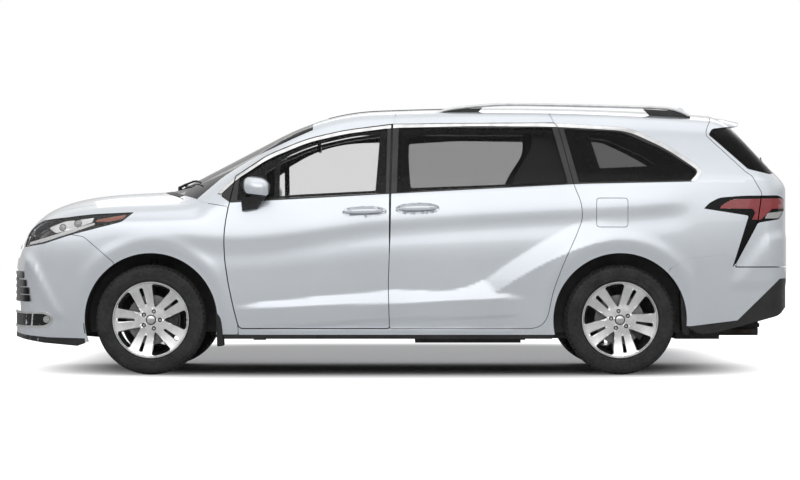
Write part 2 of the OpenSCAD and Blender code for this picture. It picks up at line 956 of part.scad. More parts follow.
ball_z = 214;
module subframe() {
    color(iron)
        union() {
            difference() {
                translate([front_x - 190, -440, 240])
                    cube([420, 880, 60]);
                translate([front_x - 120, -360, 230])
                    cube([280, 720, 80]);
            }
            for (s = [-1, 1]) {
                translate([front_x - 34, s * 610 - 200, ball_z + 4])
                    cube([68, 400, 24]);
                translate([front_x, s * kingpin_y, ball_z])
                    cylinder(r = 32, h = 30);
                translate([front_x - 34, s * 425 - 15, ball_z + 4])
                    cube([68, 30, 60]);
                for (x = [front_x - 185, front_x + 185])
                    translate([x, s * 465 - 30, 240])
                        cube([40, 60, 230 - fit_gap]);
            }
            translate([front_x - 190, -400 + 20, 299])
                cube([60, 760, 31 - fit_gap]);
        }
}

hub_in_y = 862;
module knuckle(right) {
    color(iron)
        on_side(right)
            union() {
                wheel_axis(front_x, 745, hub_in_y - fit_gap, 66);
                translate([front_x - 30, -kingpin_y - 30, ball_z + 30 + fit_gap])
                    cube([60, 60, 140]);
                translate([front_x - 30, -775, tyre_r])
                    cube([60, 40, 150]);
                hull() {
                    translate([front_x, -730, 480])
                        cylinder(r = 26, h = 30);
                    translate([front_x, -680, 730])
                        cylinder(r = 26, h = 30);
                }
                difference() {
                    translate([front_x + 96, -hub_in_y - 42, tyre_r - 70])
                        cube([92, 90, 140]);
                    wheel_axis(front_x, hub_in_y - 4, hub_in_y + 28, disc_r + 5);
                }
                translate([front_x + 40, -hub_in_y + 14, tyre_r - 50])
                    cube([100, 34, 100]);
            }
}

axle_arm_x = 1000;
module rear_axle() {
    color(iron)
        both_sides()
            wheel_axis(rear_x, 600, hub_in_y - fit_gap, axle_r);
    color(iron)
        union() {
            rear_beam(0);
            for (s = [-1, 1])
                translate([axle_arm_x, s * 610 - 30, 230])
                    cube([rear_x + 40 - axle_arm_x, 60, 69]);
            for (s = [-1, 1])
                translate([axle_arm_x - 40, s * 610 - 30, 230])
                    cube([80, 60, floor_z - floor_t - 230 - fit_gap]);
        }
}

module exhaust() {
    color(alloy)
        union() {
            translate([-1300 * sx, 150, 240])
                rotate([0, 90, 0])
                    cylinder(r = 28, h = 2200);
            translate([880 * sx, 150, 240])
                rotate([0, 90, 0])
                    cylinder(r = 28, h = 1050);
            translate([1880 * sx, 0, 205])
                cube([300, 420, 85]);
            translate([2150 * sx, 330, 250])
                rotate([0, 90, 0])
                    cylinder(r = 30, h = 330 * sx);
            for (x = [-600, 400, 1960])
                translate([x * sx, 140, 250])
                    cube([16, 20, floor_z - floor_t - 250 - fit_gap]);
        }
}

module fuel_tank() {
    color(black)
        translate([100 * sx, -620, 200])
            cube([700, 620, floor_z - floor_t - 200 - fit_gap]);
}

// Rim: barrel, face with five windows between broad spokes, boss and brake disc
face_out_y = 946;
face_t = 36;
spokes = 5;
module rim_at(x, right, turn) {
    barrel_in = rim_r - barrel_wall;
    color(alloy)
        on_side(right)
            union() {
                difference() {
                    wheel_axis(x, tyre_y - 108, tyre_y + 108, rim_r);
                    wheel_axis(x, tyre_y - 130, tyre_y + 130, barrel_in);
                }
                difference() {
                    wheel_axis(x, face_out_y - face_t, face_out_y, barrel_in + 2);
                    translate([x, -face_out_y + face_t + 5, tyre_r])
                        rotate([90, 0, 0])
                            for (k = [0:spokes - 1])
                                rotate([0, 0, turn + 360 / spokes * k])
                                    linear_extrude(face_t + 10)
                                        polygon([[92, 0], [barrel_in - 16, -84], [barrel_in - 4, -40], [barrel_in, 0],
                                            [barrel_in - 4, 40], [barrel_in - 16, 84]]);
                }
                wheel_axis(x, hub_in_y + 20, face_out_y - 4, 76);
                wheel_axis(x, hub_in_y, hub_in_y + 24, disc_r);
            }
}

module tyre_at(x, right) {
    side_r = 46;
    half = tyre_wid / 2;
    color(rubber)
        on_side(right)
            translate([x, -tyre_y, tyre_r])
                rotate([90, 0, 0])
                    rotate_extrude($fn = 96)
                        polygon(concat(
                            [[rim_r + fit_gap, -half + 20], [rim_r + 30, -half + 2]],
                            [for (a = [-90:15:-15]) [tyre_r - side_r + side_r * cos(a), -half + side_r + side_r * sin(a)]],
                            [[tyre_r, 0]],
                            [for (a = [15:15:90]) [tyre_r - side_r + side_r * cos(a), half - side_r + side_r * sin(a)]],
                            [[rim_r + 30, half - 2], [rim_r + fit_gap, half - 20]]));
}

body_side(false);  // body_side_left
body_side(true);  // body_side_right
roof_panel();
wing(false);  // wing_left
wing(true);  // wing_right
bonnet();
front_bumper();
grille();
headlamps();
cowl_panel();
windscreen();
front_door(false);  // front_door_left
front_door(true);  // front_door_right
front_window(false);  // front_window_left
front_window(true);  // front_window_right
sliding_door(false);  // sliding_door_left
sliding_door(true);  // sliding_door_right
side_windows();
tailgate();
rear_window();
tail_lamps();
tailgate_lamps();
rear_bumper();
roof_rails();
wipers();
rear_wiper();
sill_trims();
mud_flaps();
fuel_flap();
plate_holder();
floor_pan();
bulkhead();
arch_liners();
dashboard();
steering_wheel();
front_seats();
middle_seats();
rear_seats();
engine_block();
subframe();
knuckle(false);  // knuckle_left
knuckle(true);  // knuckle_right
rear_axle();
exhaust();
fuel_tank();
rim_at(front_x, false, 72);  // rim_front_left
rim_at(front_x, true, 72);  // rim_front_right
rim_at(rear_x, false, 27);  // rim_rear_left
rim_at(rear_x, true, 27);  // rim_rear_right
tyre_at(front_x, false);  // tyre_front_left
tyre_at(front_x, true);  // tyre_front_right
tyre_at(rear_x, false);  // tyre_rear_left
tyre_at(rear_x, true);  // tyre_rear_right
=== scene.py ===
import bpy
import bmesh
import math
import numpy as np
from mathutils import Matrix, Vector


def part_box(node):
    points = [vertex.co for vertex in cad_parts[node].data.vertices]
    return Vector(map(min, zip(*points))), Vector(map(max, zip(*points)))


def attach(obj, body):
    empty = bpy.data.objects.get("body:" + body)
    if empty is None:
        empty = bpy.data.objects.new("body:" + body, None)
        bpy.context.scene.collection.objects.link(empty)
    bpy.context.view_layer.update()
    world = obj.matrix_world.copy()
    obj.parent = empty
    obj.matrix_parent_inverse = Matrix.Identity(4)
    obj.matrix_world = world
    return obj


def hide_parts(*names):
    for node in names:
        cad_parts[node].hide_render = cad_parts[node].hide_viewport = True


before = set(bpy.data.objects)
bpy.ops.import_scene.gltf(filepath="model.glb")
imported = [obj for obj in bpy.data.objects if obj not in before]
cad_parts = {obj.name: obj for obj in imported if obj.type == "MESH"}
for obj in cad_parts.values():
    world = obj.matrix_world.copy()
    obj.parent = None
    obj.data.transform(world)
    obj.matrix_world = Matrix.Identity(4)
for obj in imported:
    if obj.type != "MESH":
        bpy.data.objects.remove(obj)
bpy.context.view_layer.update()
MM = 0.001

# -------- shape of the body, in millimetres
HALF_LEN = 2591.0
HALF_WID = 997.0
ROOF_H = 1772.0
FRONT_X = -1625.0
REAR_X = 1435.0
HUB_Z = 360.0
ARCH_R = 436.0
TYRE_Y = 855.0
DOOR_WALL = 70.0
SKIN_WALL = 34.0


def smooth_max(a, b, k):
    return np.maximum(a, b) + np.maximum(k - np.abs(a - b), 0) ** 2 / (4 * k)


def smooth_min(a, b, k):
    return -smooth_max(-a, -b, k)


def ramp(v, low, high):
    """0 below low, 1 above high, smooth between them."""
    t = np.clip((v - low) / (high - low), 0, 1)
    return t * t * (3 - 2 * t)


def belt_z(x):
    return 1166 + 0.0476 * x


def side_half(x, z):
    zb = belt_z(x)
    low = 40 * ((780 - z) / 520) ** 2
    high = 38 * ((np.minimum(z, zb) - 780) / (zb - 780)) ** 2
    above = np.maximum(z - zb, 0)
    nose = 85 * (np.maximum(-1150 - x, 0) / 1200) ** 2
    tail = 55 * (np.maximum(x - 1300, 0) / 1200) ** 2
    return HALF_WID - np.where(z < 780, low, high) - 0.36 * above - 0.00012 * above**2 - nose - tail


def bonnet_z(x, y):
    u = np.clip((-1700 - x) / 900, 0, 1)
    roll = 450 * (1 - np.sqrt(1 - u**3.2))
    return 1198 + 0.05 * (x + 1700) - roll - 75 * (np.abs(y) / 760) ** 2.5


def outside_plain(x, y, z):
    """Distance outside the body's plain skin."""
    nose = -HALF_LEN + 105 * (np.abs(y) / 750) ** 2.3 + 0.0009 * np.maximum(z - 650, 0) ** 2 - x
    tail = x - smooth_min(HALF_LEN, 2496 - 0.94 * (z - 1345), 40) + 50 * (np.abs(y) / 700) ** 2.4
    screen = 0.459 * (-1529 + (z - 1207) / 0.516 + (300 - 0.45 * (z - 1184)) * (y / 850) ** 2 - x)
    roof = z - ROOF_H + 12.5 * ((x - 650) / 700) ** 2 + 55 * (np.abs(y) / 700) ** 2.5
    upper = smooth_max(screen, roof, 150)
    top = smooth_min(z - bonnet_z(x, y), upper, 30)
    sides = smooth_max(np.abs(y) - side_half(x, z), top, 100)
    return smooth_max(sides, np.maximum(nose, tail), 90)


def line_z(line, x):
    """Height of a side-view line at x, drawn smoothly through its points."""
    xs, zs = line[:, 0], line[:, 1]
    slope = np.gradient(zs, xs)
    i = np.clip(np.searchsorted(xs, x) - 1, 0, len(xs) - 2)
    h = xs[i + 1] - xs[i]
    t = np.clip((x - xs[i]) / h, 0, 1)
    return (
        (1 + 2 * t) * (1 - t) ** 2 * zs[i]
        + t * (1 - t) ** 2 * h * slope[i]
        + t * t * (3 - 2 * t) * zs[i + 1]
        + t * t * (t - 1) * h * slope[i + 1]
    )


SHELF_TOP = np.array(
    [
        [-1300, 440], [-1008, 472], [-570, 517], [-84, 560], [532, 626], [694, 735], [953, 889],
        [1148, 990], [1320, 1030]
    ]
)
SHELF_EDGE = np.array([[-1300, 420], [-1089, 430], [-84, 464], [612, 492], [888, 498], [1300, 505]])
RISE_EDGE = np.array([[400, 520], [640, 548], [726, 600], [937, 722], [1098, 800], [1243, 850], [1420, 880]])
SHOULDER = np.array(
    [
        [-2200, 945], [-1500, 930], [-1162, 900], [-84, 1020], [564, 1062], [1210, 1096], [1600, 1120],
        [1950, 1150]
    ]
)
SCOOP = np.array([[-1300, 300], [-853, 314], [-84, 360], [694, 386], [1000, 392]])


def fold(z, high, low, rise, reach):
    """A face that leans out from high to low, then runs back in over reach."""
    t = (high - z) / (high - low)
    up = smooth_max(t * (high - low), 0 * z, 9)
    back = np.maximum(low - z, 0)
    out = smooth_min(up, (high - low) * (1 - back / reach), 7)
    return rise * smooth_max(out, 0 * z, 9) / (high - low)


def side_relief(x, z):
    """How far the side's creases, hollows and arch lips stand proud."""
    out = np.zeros(np.shape(x))
    for hub, wide in ((FRONT_X, 118), (REAR_X, 128)):
        r = np.hypot(x - hub, z - HUB_Z)
        lip = (
            5 * np.exp(-(((r - ARCH_R - wide + 44) / 48) ** 2))
            - 9 * np.exp(-(((r - ARCH_R + 4) / 42) ** 2))
        )
        out = out + lip * ramp(z, 200, 320)
    shelf = ramp(x, -1180, -900) * (1 - ramp(x, 620, 930))
    rise = ramp(x, 430, 600) * (1 - ramp(x, 1050, 1500))
    high, low = line_z(SHELF_TOP, np.minimum(x, 532)), line_z(SHELF_EDGE, x)
    flat = fold(z, high, low, 0.24 * (high - low) + 3, 260)
    high, low = line_z(SHELF_TOP, x), line_z(RISE_EDGE, x)
    lean = fold(z, high, low, 0.14 * (high - low) + 2, 240)
    out = out + smooth_max(shelf * flat, rise * lean, 3)
    s = z - line_z(SCOOP, x)
    dip = ramp(x, -1000, -780) * (1 - ramp(x, 690, 830)) * ramp(z, 290, 320)
    out = out - 7 * dip * (1 - ramp(s, -16, 10))
    off = (x - 2162) * 0.779 - (z - 562) * 0.627
    out = out + 9 * ramp(off, -75, 35) * ramp(z, 540, 620) * (1 - ramp(z, 880, 960)) * ramp(x, 2100, 2200)
    off = (x + 2426) * 0.88 + (z - 729) * 0.475
    out = (
        out
        + 13 * np.exp(-((off / 40) ** 2)) * ramp(z, 340, 420) * (1 - ramp(z, 740, 820)) * (
            1 - ramp(x, -2080, -2000)
        )
    )
    s = z - line_z(SHOULDER, x)
    run = ramp(x, -2100, -1500) * (1 - ramp(x, 1700, 1980))
    return (
        out
        + run * (
            5 * np.exp(-(np.maximum(s, 0) / 90) ** 2) * (s > 0)
            + 5 * np.exp(-((np.minimum(s, 0) / 60) ** 2)) * (s <= 0) - 5 * np.exp(-(((s + 110) / 70) ** 2))
        )
    )


def outside(x, y, z):
    """Distance outside the body's finished skin."""
    away = ramp(np.abs(y), 560, 760)
    return np.maximum(outside_plain(x, y, z) - away * side_relief(x, z), 140 - z)


def outward(p, step=0.5):
    """Unit normals of the finished skin at points, or of the layers that follow it."""
    g = np.empty_like(p)
    for i in range(3):
        d = np.zeros(3)
        d[i] = step
        a, b = p + d, p - d
        g[:, i] = outside(a[:, 0], a[:, 1], a[:, 2]) - outside(b[:, 0], b[:, 1], b[:, 2])
    return g / np.maximum(np.linalg.norm(g, axis=1, keepdims=True), 1e-9)


def skin_hits(origin, way, level, rounds=22, reach=1700.0):
    """Where rays from inside meet the layer that lies level outside the skin."""
    low = np.zeros(len(origin))
    high = np.full(len(origin), reach)
    for _ in range(rounds):
        mid = (low + high) / 2
        p = origin + mid[:, None] * way
        off = outside(p[:, 0], p[:, 1], p[:, 2]) > level
        high = np.where(off, mid, high)
        low = np.where(off, low, mid)
    return origin + ((low + high) / 2)[:, None] * way


def body_ball(level, fan_f, mid, fan_r, around):
    """Closed mesh of the whole body at a level: points, and faces as index lists."""
    start, end = np.array([-1750.0, 0, 640]), np.array([2050.0, 0, 860])
    rows = []
    for i in range(1, fan_f):
        rows.append((start, math.radians(90 * (1 - i / fan_f)), -1))
    for i in range(mid + 1):
        rows.append((start + (end - start) * i / mid, 0.0, 1))
    for i in range(1, fan_r):
        rows.append((end, math.radians(90 * i / fan_r), 1))
    even = -math.pi / 2 + 2 * math.pi * np.arange(around) / around
    angle = even - 0.22 * np.sin(2 * even)
    origins, ways = [], []
    for at, lean, sign in rows:
        w = np.stack(
            [
                np.full(around, sign * math.sin(lean)), math.cos(lean) * np.cos(angle),
                math.cos(lean) * np.sin(angle)
            ],
            1
        )
        ways.append(w)
        origins.append(np.repeat(at[None], around, 0))
    origins = np.concatenate([start[None]] + origins + [end[None]])
    ways = np.concatenate([np.array([[-1.0, 0, 0]])] + ways + [np.array([[1.0, 0, 0]])])
    points = skin_hits(origins, ways, level)
    n, last = len(rows), len(points) - 1
    j = np.arange(around)
    k = (j + 1) % around
    a = 1 + (np.arange(n - 1)[:, None] * around + j[None]).ravel()
    b = 1 + (np.arange(n - 1)[:, None] * around + k[None]).ravel()
    quads = np.stack([a, b, b + around, a + around], 1)
    front = np.stack([np.zeros(around, int), 1 + k, 1 + j], 1)
    rear = np.stack([np.full(around, last), last - around + j, last - around + k], 1)
    return points, quads, np.concatenate([front, rear])


def linked(name, data):
    """A new object with this mesh, lamp or camera, in the scene."""
    obj = bpy.data.objects.new(name, data)
    bpy.context.scene.collection.objects.link(obj)
    return obj


def mesh_object(name, points, faces):
    """An object from points in millimetres."""
    mesh = bpy.data.meshes.new(name)
    mesh.from_pydata((np.asarray(points) * MM).tolist(), [], [list(map(int, f)) for f in faces])
    mesh.update()
    return linked(name, mesh)


def evaluated(obj):
    """A new mesh of the object with its modifiers applied."""
    graph = bpy.context.evaluated_depsgraph_get()
    return bpy.data.meshes.new_from_object(obj.evaluated_get(graph), depsgraph=graph)


def face_outwards(obj):
    """Turns every face of a closed mesh outwards."""
    bm = bmesh.new()
    bm.from_mesh(obj.data)
    bmesh.ops.recalc_face_normals(bm, faces=bm.faces)
    bm.to_mesh(obj.data)
    bm.free()
    return obj


# -------- outlines and cutters
def rounded(points, steps=5):
    """A closed outline; each corner (a, b, size) is a curve that starts and ends size away from it."""
    out = []
    n = len(points)
    for i, p in enumerate(points):
        here = np.array(p[:2], float)
        size = p[2] if len(p) > 2 else 0
        if size <= 0:
            out.append(here)
            continue
        before, after = (
            np.array(points[i - 1][:2], float) - here, np.array(points[(i + 1) % n][:2], float) - here
        )
        la, lb = np.linalg.norm(before), np.linalg.norm(after)
        a = here + before / la * min(size, 0.5 * la)
        b = here + after / lb * min(size, 0.5 * lb)
        for k in range(steps + 1):
            t = k / steps
            out.append((1 - t) ** 2 * a + 2 * t * (1 - t) * here + t * t * b)
    keep = [p for i, p in enumerate(out) if np.linalg.norm(p - out[i - 1]) > 0.5]
    return np.array(keep)


def offset(outline, grow):
    """The outline moved outwards by grow, whichever way round it runs."""
    p = np.asarray(outline, float)
    area = np.sum(p[:, 0] * np.roll(p[:, 1], -1) - np.roll(p[:, 0], -1) * p[:, 1])
    turn = 1.0 if area > 0 else -1.0
    edge = np.roll(p, -1, 0) - p
    edge /= np.linalg.norm(edge, axis=1, keepdims=True)
    normal = np.stack([edge[:, 1], -edge[:, 0]], 1) * turn
    both = normal + np.roll(normal, 1, 0)
    both /= np.maximum(np.sum(both * np.roll(normal, 1, 0), 1, keepdims=True), 0.35)
    return p + both * grow


def prism(outline, low, high, view="side"):
    """Closed cutter: an outline in side (x, z), plan (x, y) or end (y, z) view, between low and high."""
    p = np.asarray(outline, float)
    n = len(p)
    place = {"side": (0, 2, 1), "plan": (0, 1, 2), "end": (1, 2, 0)}[view]
    v = np.zeros((2 * n, 3))
    v[:n, place[0]] = v[n:, place[0]] = p[:, 0]
    v[:n, place[1]] = v[n:, place[1]] = p[:, 1]
    v[:n, place[2]] = low
    v[n:, place[2]] = high
    faces = [list(range(n)), list(range(2 * n - 1, n - 1, -1))]
    faces += [[i, n + i, n + (i + 1) % n, (i + 1) % n] for i in range(n)]
    obj = face_outwards(mesh_object("cutter", v, faces))
    CUTTERS.append(obj)
    return obj


CUTTERS = []
FAR_Y = 1300
NOSE = (-2800, -2200, "end")
BONNET_ZONE = (900, 1400, "plan")
ROOF_ZONE = (1580, 1900, "plan")
COWL_ZONE = (1050, 1300, "plan")


def side(outline, grow=0.0, near=300):
    """Cutter for the left side only."""
    return prism(offset(outline, grow) if grow else outline, -FAR_Y, -near)


def across(outline, grow=0.0):
    """Cutter of a side-view outline through the whole car."""
    return prism(offset(outline, grow) if grow else outline, -FAR_Y, FAR_Y)


def disc(x, z, r, steps=96):
    a = 2 * math.pi * np.arange(steps) / steps
    return np.stack([x + r * np.cos(a), z + r * np.sin(a)], 1)


def oval(n, a, b, power=2.0):
    """Superellipse outline with half sizes a and b."""
    t = 2 * math.pi * np.arange(n) / n
    c, s = np.cos(t), np.sin(t)
    return np.stack([a * np.sign(c) * np.abs(c) ** (2 / power), b * np.sign(s) * np.abs(s) ** (2 / power)], 1)


def skin_y(x, z):
    """Half width of the finished skin at x and z."""
    low, high = 0.0, 1200.0
    for _ in range(30):
        mid = (low + high) / 2
        if float(outside(np.array([x]), np.array([mid]), np.array([z]))[0]) > 0:
            high = mid
        else:
            low = mid
    return low


def scoop(name, x, z):
    """Hollow behind a pull handle."""
    y = -skin_y(x, z)
    rows = []
    for t in np.linspace(-0.98, 0.98, 15):
        ring = oval(56, 150 * math.sqrt(1 - t * t), 41 * math.sqrt(1 - t * t), 2.3)
        rows.append(
            np.stack([x + ring[:, 0], np.full(56, y - 10 + 35 * t), z + ring[:, 1] + 0.018 * ring[:, 0]], 1)
        )
    faces = [
        [r * 56 + c, r * 56 + (c + 1) % 56, (r + 1) * 56 + (c + 1) % 56, (r + 1) * 56 + c]
        for r in range(14) for c in range(56)
    ]
    faces += [list(range(56))[::-1], list(range(14 * 56, 15 * 56))]
    obj = mesh_object(name, np.concatenate(rows), faces)
    CUTTERS.append(obj)
    return obj


def carved(name, base, *steps):
    """A copy of base after each step, a pair of "-", "&" or "+" and a cutter."""
    obj = linked(name, base.data)
    kinds = {"-": "DIFFERENCE", "&": "INTERSECT", "+": "UNION"}
    for sign, cutter in steps:
        m = obj.modifiers.new("cut", "BOOLEAN")
        m.operation, m.solver, m.object = kinds[sign], "MANIFOLD", cutter
    mesh = evaluated(obj)
    obj.modifiers.clear()
    mesh.name = name
    obj.data = mesh
    return obj


def read(items, key, width=1, kind=float):
    """An array of one property of a mesh's vertices, loops or faces."""
    out = np.empty(width * len(items), kind)
    items.foreach_get(key, out)
    return out.reshape(-1, width) if width > 1 else out


def dress(obj, levels=(0.0,), slack=0.8):
    """Smooth shading on the faces that follow the skin at the given levels, flat on the cut edges.
    Returns, for each face, the index of its level, or -1 for a cut edge."""
    mesh = obj.data
    v = read(mesh.vertices, "co", 3) / MM
    dist = outside(v[:, 0], v[:, 1], v[:, 2])
    normal = outward(v)
    npol = len(mesh.polygons)
    lv = read(mesh.loops, "vertex_index", kind=int)
    starts, totals = (read(mesh.polygons, key, kind=int) for key in ("loop_start", "loop_total"))
    fn = read(mesh.polygons, "normal", 3)
    face_of = np.repeat(np.arange(npol), totals)
    mesh.polygons.foreach_set("use_smooth", np.ones(npol, bool))
    mesh.set_sharp_from_angle(angle=math.radians(30))
    out = read(mesh.corner_normals, "vector", 3)
    kind = np.full(npol, -1)
    for i, level in enumerate(levels):
        near = np.abs(dist - level) < (slack if level > -20 else 6)
        all_near = np.minimum.reduceat(near[lv].astype(int), starts) == 1
        mid = np.add.reduceat(normal[lv], starts) / totals[:, None]
        mid /= np.maximum(np.linalg.norm(mid, axis=1, keepdims=True), 1e-9)
        lean = np.sum(mid * fn, 1)
        ok = all_near & (np.abs(lean) > 0.6) & (kind < 0)
        kind[ok] = i
        sign = np.sign(lean)[face_of][:, None]
        pick = ok[face_of]
        out[pick] = (normal[lv] * sign)[pick]
    mesh.normals_split_custom_set(out.tolist())
    return kind


def mirrored(obj, name):
    """The same piece on the car's other side, with its shading."""
    mesh = obj.data.copy()
    mesh.name = name
    v, corner = read(mesh.vertices, "co", 3), read(mesh.corner_normals, "vector", 3)
    v[:, 1] *= -1
    corner[:, 1] *= -1
    starts, totals = (read(mesh.polygons, key, kind=int) for key in ("loop_start", "loop_total"))
    mesh.vertices.foreach_set("co", v.ravel())
    mesh.flip_normals()
    order = np.arange(len(corner))
    for s, t in zip(starts, totals):
        order[s + 1 : s + t] = order[s + 1 : s + t][::-1]
    mesh.update()
    mesh.normals_split_custom_set(corner[order].tolist())
    return linked(name, mesh)


# -------- materials
def linear(rgb):
    return tuple((c / 12.92 if c <= 0.04045 else ((c + 0.055) / 1.055) ** 2.4) for c in rgb) + (1.0,)


def grey(v):
    return linear((v / 255, v / 255, v / 255))


def rgb(r, g, b):
    return linear((r / 255, g / 255, b / 255))


def math_node(tree, kind, a, b=0.0):
    node = tree.nodes.new("ShaderNodeMath")
    node.operation = kind
    for socket, value in zip(node.inputs, (a, b)):
        if isinstance(value, (int, float)):
            socket.default_value = value
        else:
            tree.links.new(value, socket)
    return node.outputs[0]


class Shader:
    """A material whose surface is one Principled shader, with helpers for its texture nodes."""

    def __init__(self, name, rough, metal=0.0, **sockets):
        self.mat = bpy.data.materials.new(name)
        self.mat.use_nodes = True
        self.tree = self.mat.node_tree
        self.tree.nodes.clear()
        self.out = self.node("ShaderNodeOutputMaterial")
        self.bsdf = self.node("ShaderNodeBsdfPrincipled")
        self.link(self.bsdf.outputs[0], self.out.inputs[0])
        self.bsdf.inputs["Roughness"].default_value = rough
        self.bsdf.inputs["Metallic"].default_value = metal
        for key, value in sockets.items():
            self.bsdf.inputs[key.replace("_", " ")].default_value = value
        self.coords = self.node("ShaderNodeTexCoord").outputs["Object"]

    def node(self, kind, **settings):
        n = self.tree.nodes.new(kind)
        for key, value in settings.items():
            setattr(n, key, value)
        return n

    def link(self, a, b):
        self.tree.links.new(a, b)

    def noise(self, scale, detail=3.0, rough=0.5, stretch=None):
        n = self.node("ShaderNodeTexNoise")
        n.inputs["Scale"].default_value = scale
        n.inputs["Detail"].default_value = detail
        n.inputs["Roughness"].default_value = rough
        self.link(self.placed(stretch), n.inputs["Vector"])
        return n.outputs["Fac"]

    def placed(self, stretch=None, turn=None):
        if stretch is None and turn is None:
            return self.coords
        m = self.node("ShaderNodeMapping")
        if stretch is not None:
            m.inputs["Scale"].default_value = stretch
        if turn is not None:
            m.inputs["Rotation"].default_value = turn
        self.link(self.coords, m.inputs["Vector"])
        return m.outputs[0]

    def cells(self, scale, feature="F1", stretch=None):
        n = self.node("ShaderNodeTexVoronoi", feature=feature)
        n.inputs["Scale"].default_value = scale
        self.link(self.placed(stretch), n.inputs["Vector"])
        return n.outputs["Distance"]

    def bands(self, scale, axis="X", stretch=None, turn=None, distortion=0.0):
        n = self.node("ShaderNodeTexWave", bands_direction=axis)
        n.inputs["Scale"].default_value = scale
        n.inputs["Distortion"].default_value = distortion
        self.link(self.placed(stretch, turn), n.inputs["Vector"])
        return n.outputs["Fac"]

    def span(self, value, low, high, start=0.35, end=0.65):
        n = self.node("ShaderNodeMapRange")
        n.inputs["From Min"].default_value = start
        n.inputs["From Max"].default_value = end
        n.inputs["To Min"].default_value = low
        n.inputs["To Max"].default_value = high
        self.link(value, n.inputs["Value"])
        return n.outputs[0]

    def maths(self, what, a, b):
        return math_node(self.tree, what, a, b)

    def color(self, first, second, by):
        n = self.node("ShaderNodeMix", data_type="RGBA")
        n.inputs[6].default_value = first
        n.inputs[7].default_value = second
        self.link(by, n.inputs[0])
        self.link(n.outputs[2], self.bsdf.inputs["Base Color"])
        return n.outputs[2]

    def rough(self, value):
        self.link(value, self.bsdf.inputs["Roughness"])

    def bump(self, height, distance, strength=1.0):
        n = self.node("ShaderNodeBump")
        n.inputs["Strength"].default_value = strength
        n.inputs["Distance"].default_value = distance
        self.link(height, n.inputs["Height"])
        self.link(n.outputs[0], self.bsdf.inputs["Normal"])


def paint_material():
    s = Shader("silver_paint", 0.34, 0.5, Coat_Weight=1.0, Coat_Roughness=0.03, Coat_IOR=1.6)
    flakes = s.cells(1400)
    clouds = s.noise(1.3, 2)
    s.color(
        rgb(222, 228, 235), rgb(234, 240, 246),
        s.span(s.maths("ADD", s.maths("MULTIPLY", flakes, 0.5), clouds), 0, 1, 0.5, 1.1)
    )
    s.rough(s.span(flakes, 0.26, 0.34, 0.2, 0.7))
    return s.mat


def moulded(name, value, rough=0.5, grain=900, depth=0.00025, tint=0, **sockets):
    """Grained moulded plastic or rubber, a little paler and duller where it has worn."""
    s = Shader(name, rough, **sockets)
    wear = s.noise(6, 4)
    s.color(grey(value), grey(value + 14 + tint), s.span(wear, 0, 1))
    s.rough(s.span(s.noise(40, 3), rough - 0.06, rough + 0.1))
    s.bump(s.cells(grain), depth, 0.5)
    return s.mat


def gloss_black():
    s = Shader("gloss_black", 0.12, Specular_IOR_Level=0.16)
    s.color(grey(12), grey(20), s.span(s.noise(30, 4), 0, 1))
    s.rough(s.span(s.noise(90, 3), 0.14, 0.26))
    return s.mat


def metal(name, low, high, rough, grain=(400, 12, 12), depth=0.00006):
    """Bright metal with fine drawn lines along one axis."""
    s = Shader(name, rough, 1.0)
    s.color(grey(low), grey(high), s.span(s.noise(14, 4), 0, 1))
    lines = s.noise(8, 3, 0.6, grain)
    s.rough(s.span(lines, rough - 0.05, rough + 0.08))
    s.bump(lines, depth, 0.3)
    return s.mat


def glass_material(name, tint, alpha, smudge=5, coat=0.5, specular=0.5):
    s = Shader(name, 0.02, Alpha=alpha, Coat_Weight=coat, Coat_Roughness=0.01, Specular_IOR_Level=specular)
    s.color(grey(tint), grey(tint + 8), s.span(s.noise(smudge, 4), 0, 1))
    s.rough(s.span(s.noise(16, 4), 0.015, 0.05))
    return s.mat


def lens_material(name, first, second, alpha, ribs=90, axis="X"):
    s = Shader(name, 0.06, Alpha=alpha, Coat_Weight=1.0, Coat_Roughness=0.02)
    lines = s.bands(ribs, axis)
    s.color(first, second, lines)
    s.bump(lines, 0.0008, 0.4)
    return s.mat


def rubber_material():
    s = Shader("tyre_rubber", 0.7)
    dust = s.noise(9, 5, 0.6)
    s.color(grey(30), grey(50), s.span(dust, 0, 1))
    s.rough(s.span(s.noise(60, 3), 0.62, 0.82))
    s.bump(s.noise(500, 3), 0.0006, 0.5)
    return s.mat


def rough_iron(name, low, high, rust=None, rough=0.6):
    """Cast or pressed metal of the underbody, with road dust and a little rust."""
    s = Shader(name, rough, 0.6)
    dust = s.noise(5, 6, 0.65)
    s.color(grey(low), rust or grey(high), s.span(dust, 0, 1, 0.45, 0.75))
    s.rough(s.span(s.noise(35, 4), rough - 0.1, rough + 0.2))
    s.bump(s.noise(120, 5), 0.0015, 0.5)
    return s.mat


def cloth_material(name, low, high, pitch=420):
    """Woven seat cloth: threads both ways, a soft sheen, and slight fading."""
    s = Shader(name, 0.85, Sheen_Weight=0.35, Sheen_Roughness=0.4)
    warp = s.bands(pitch, "X", None, (0.3, 0.2, 0.78))
    weft = s.bands(pitch, "Y", None, (0.3, 0.2, 0.78))
    weave = s.maths("MULTIPLY", warp, weft)
    s.color(grey(low), grey(high), s.span(s.maths("ADD", weave, s.noise(4, 4)), 0, 1, 0.4, 1.3))
    s.bump(weave, 0.0006, 0.6)
    return s.mat


def leather_material(name, low, high):
    s = Shader(name, 0.5)
    s.color(grey(low), grey(high), s.span(s.noise(8, 5), 0, 1))
    s.rough(s.span(s.noise(50, 3), 0.42, 0.6))
    s.bump(s.cells(260, "SMOOTH_F1"), 0.0006, 0.6)
    return s.mat


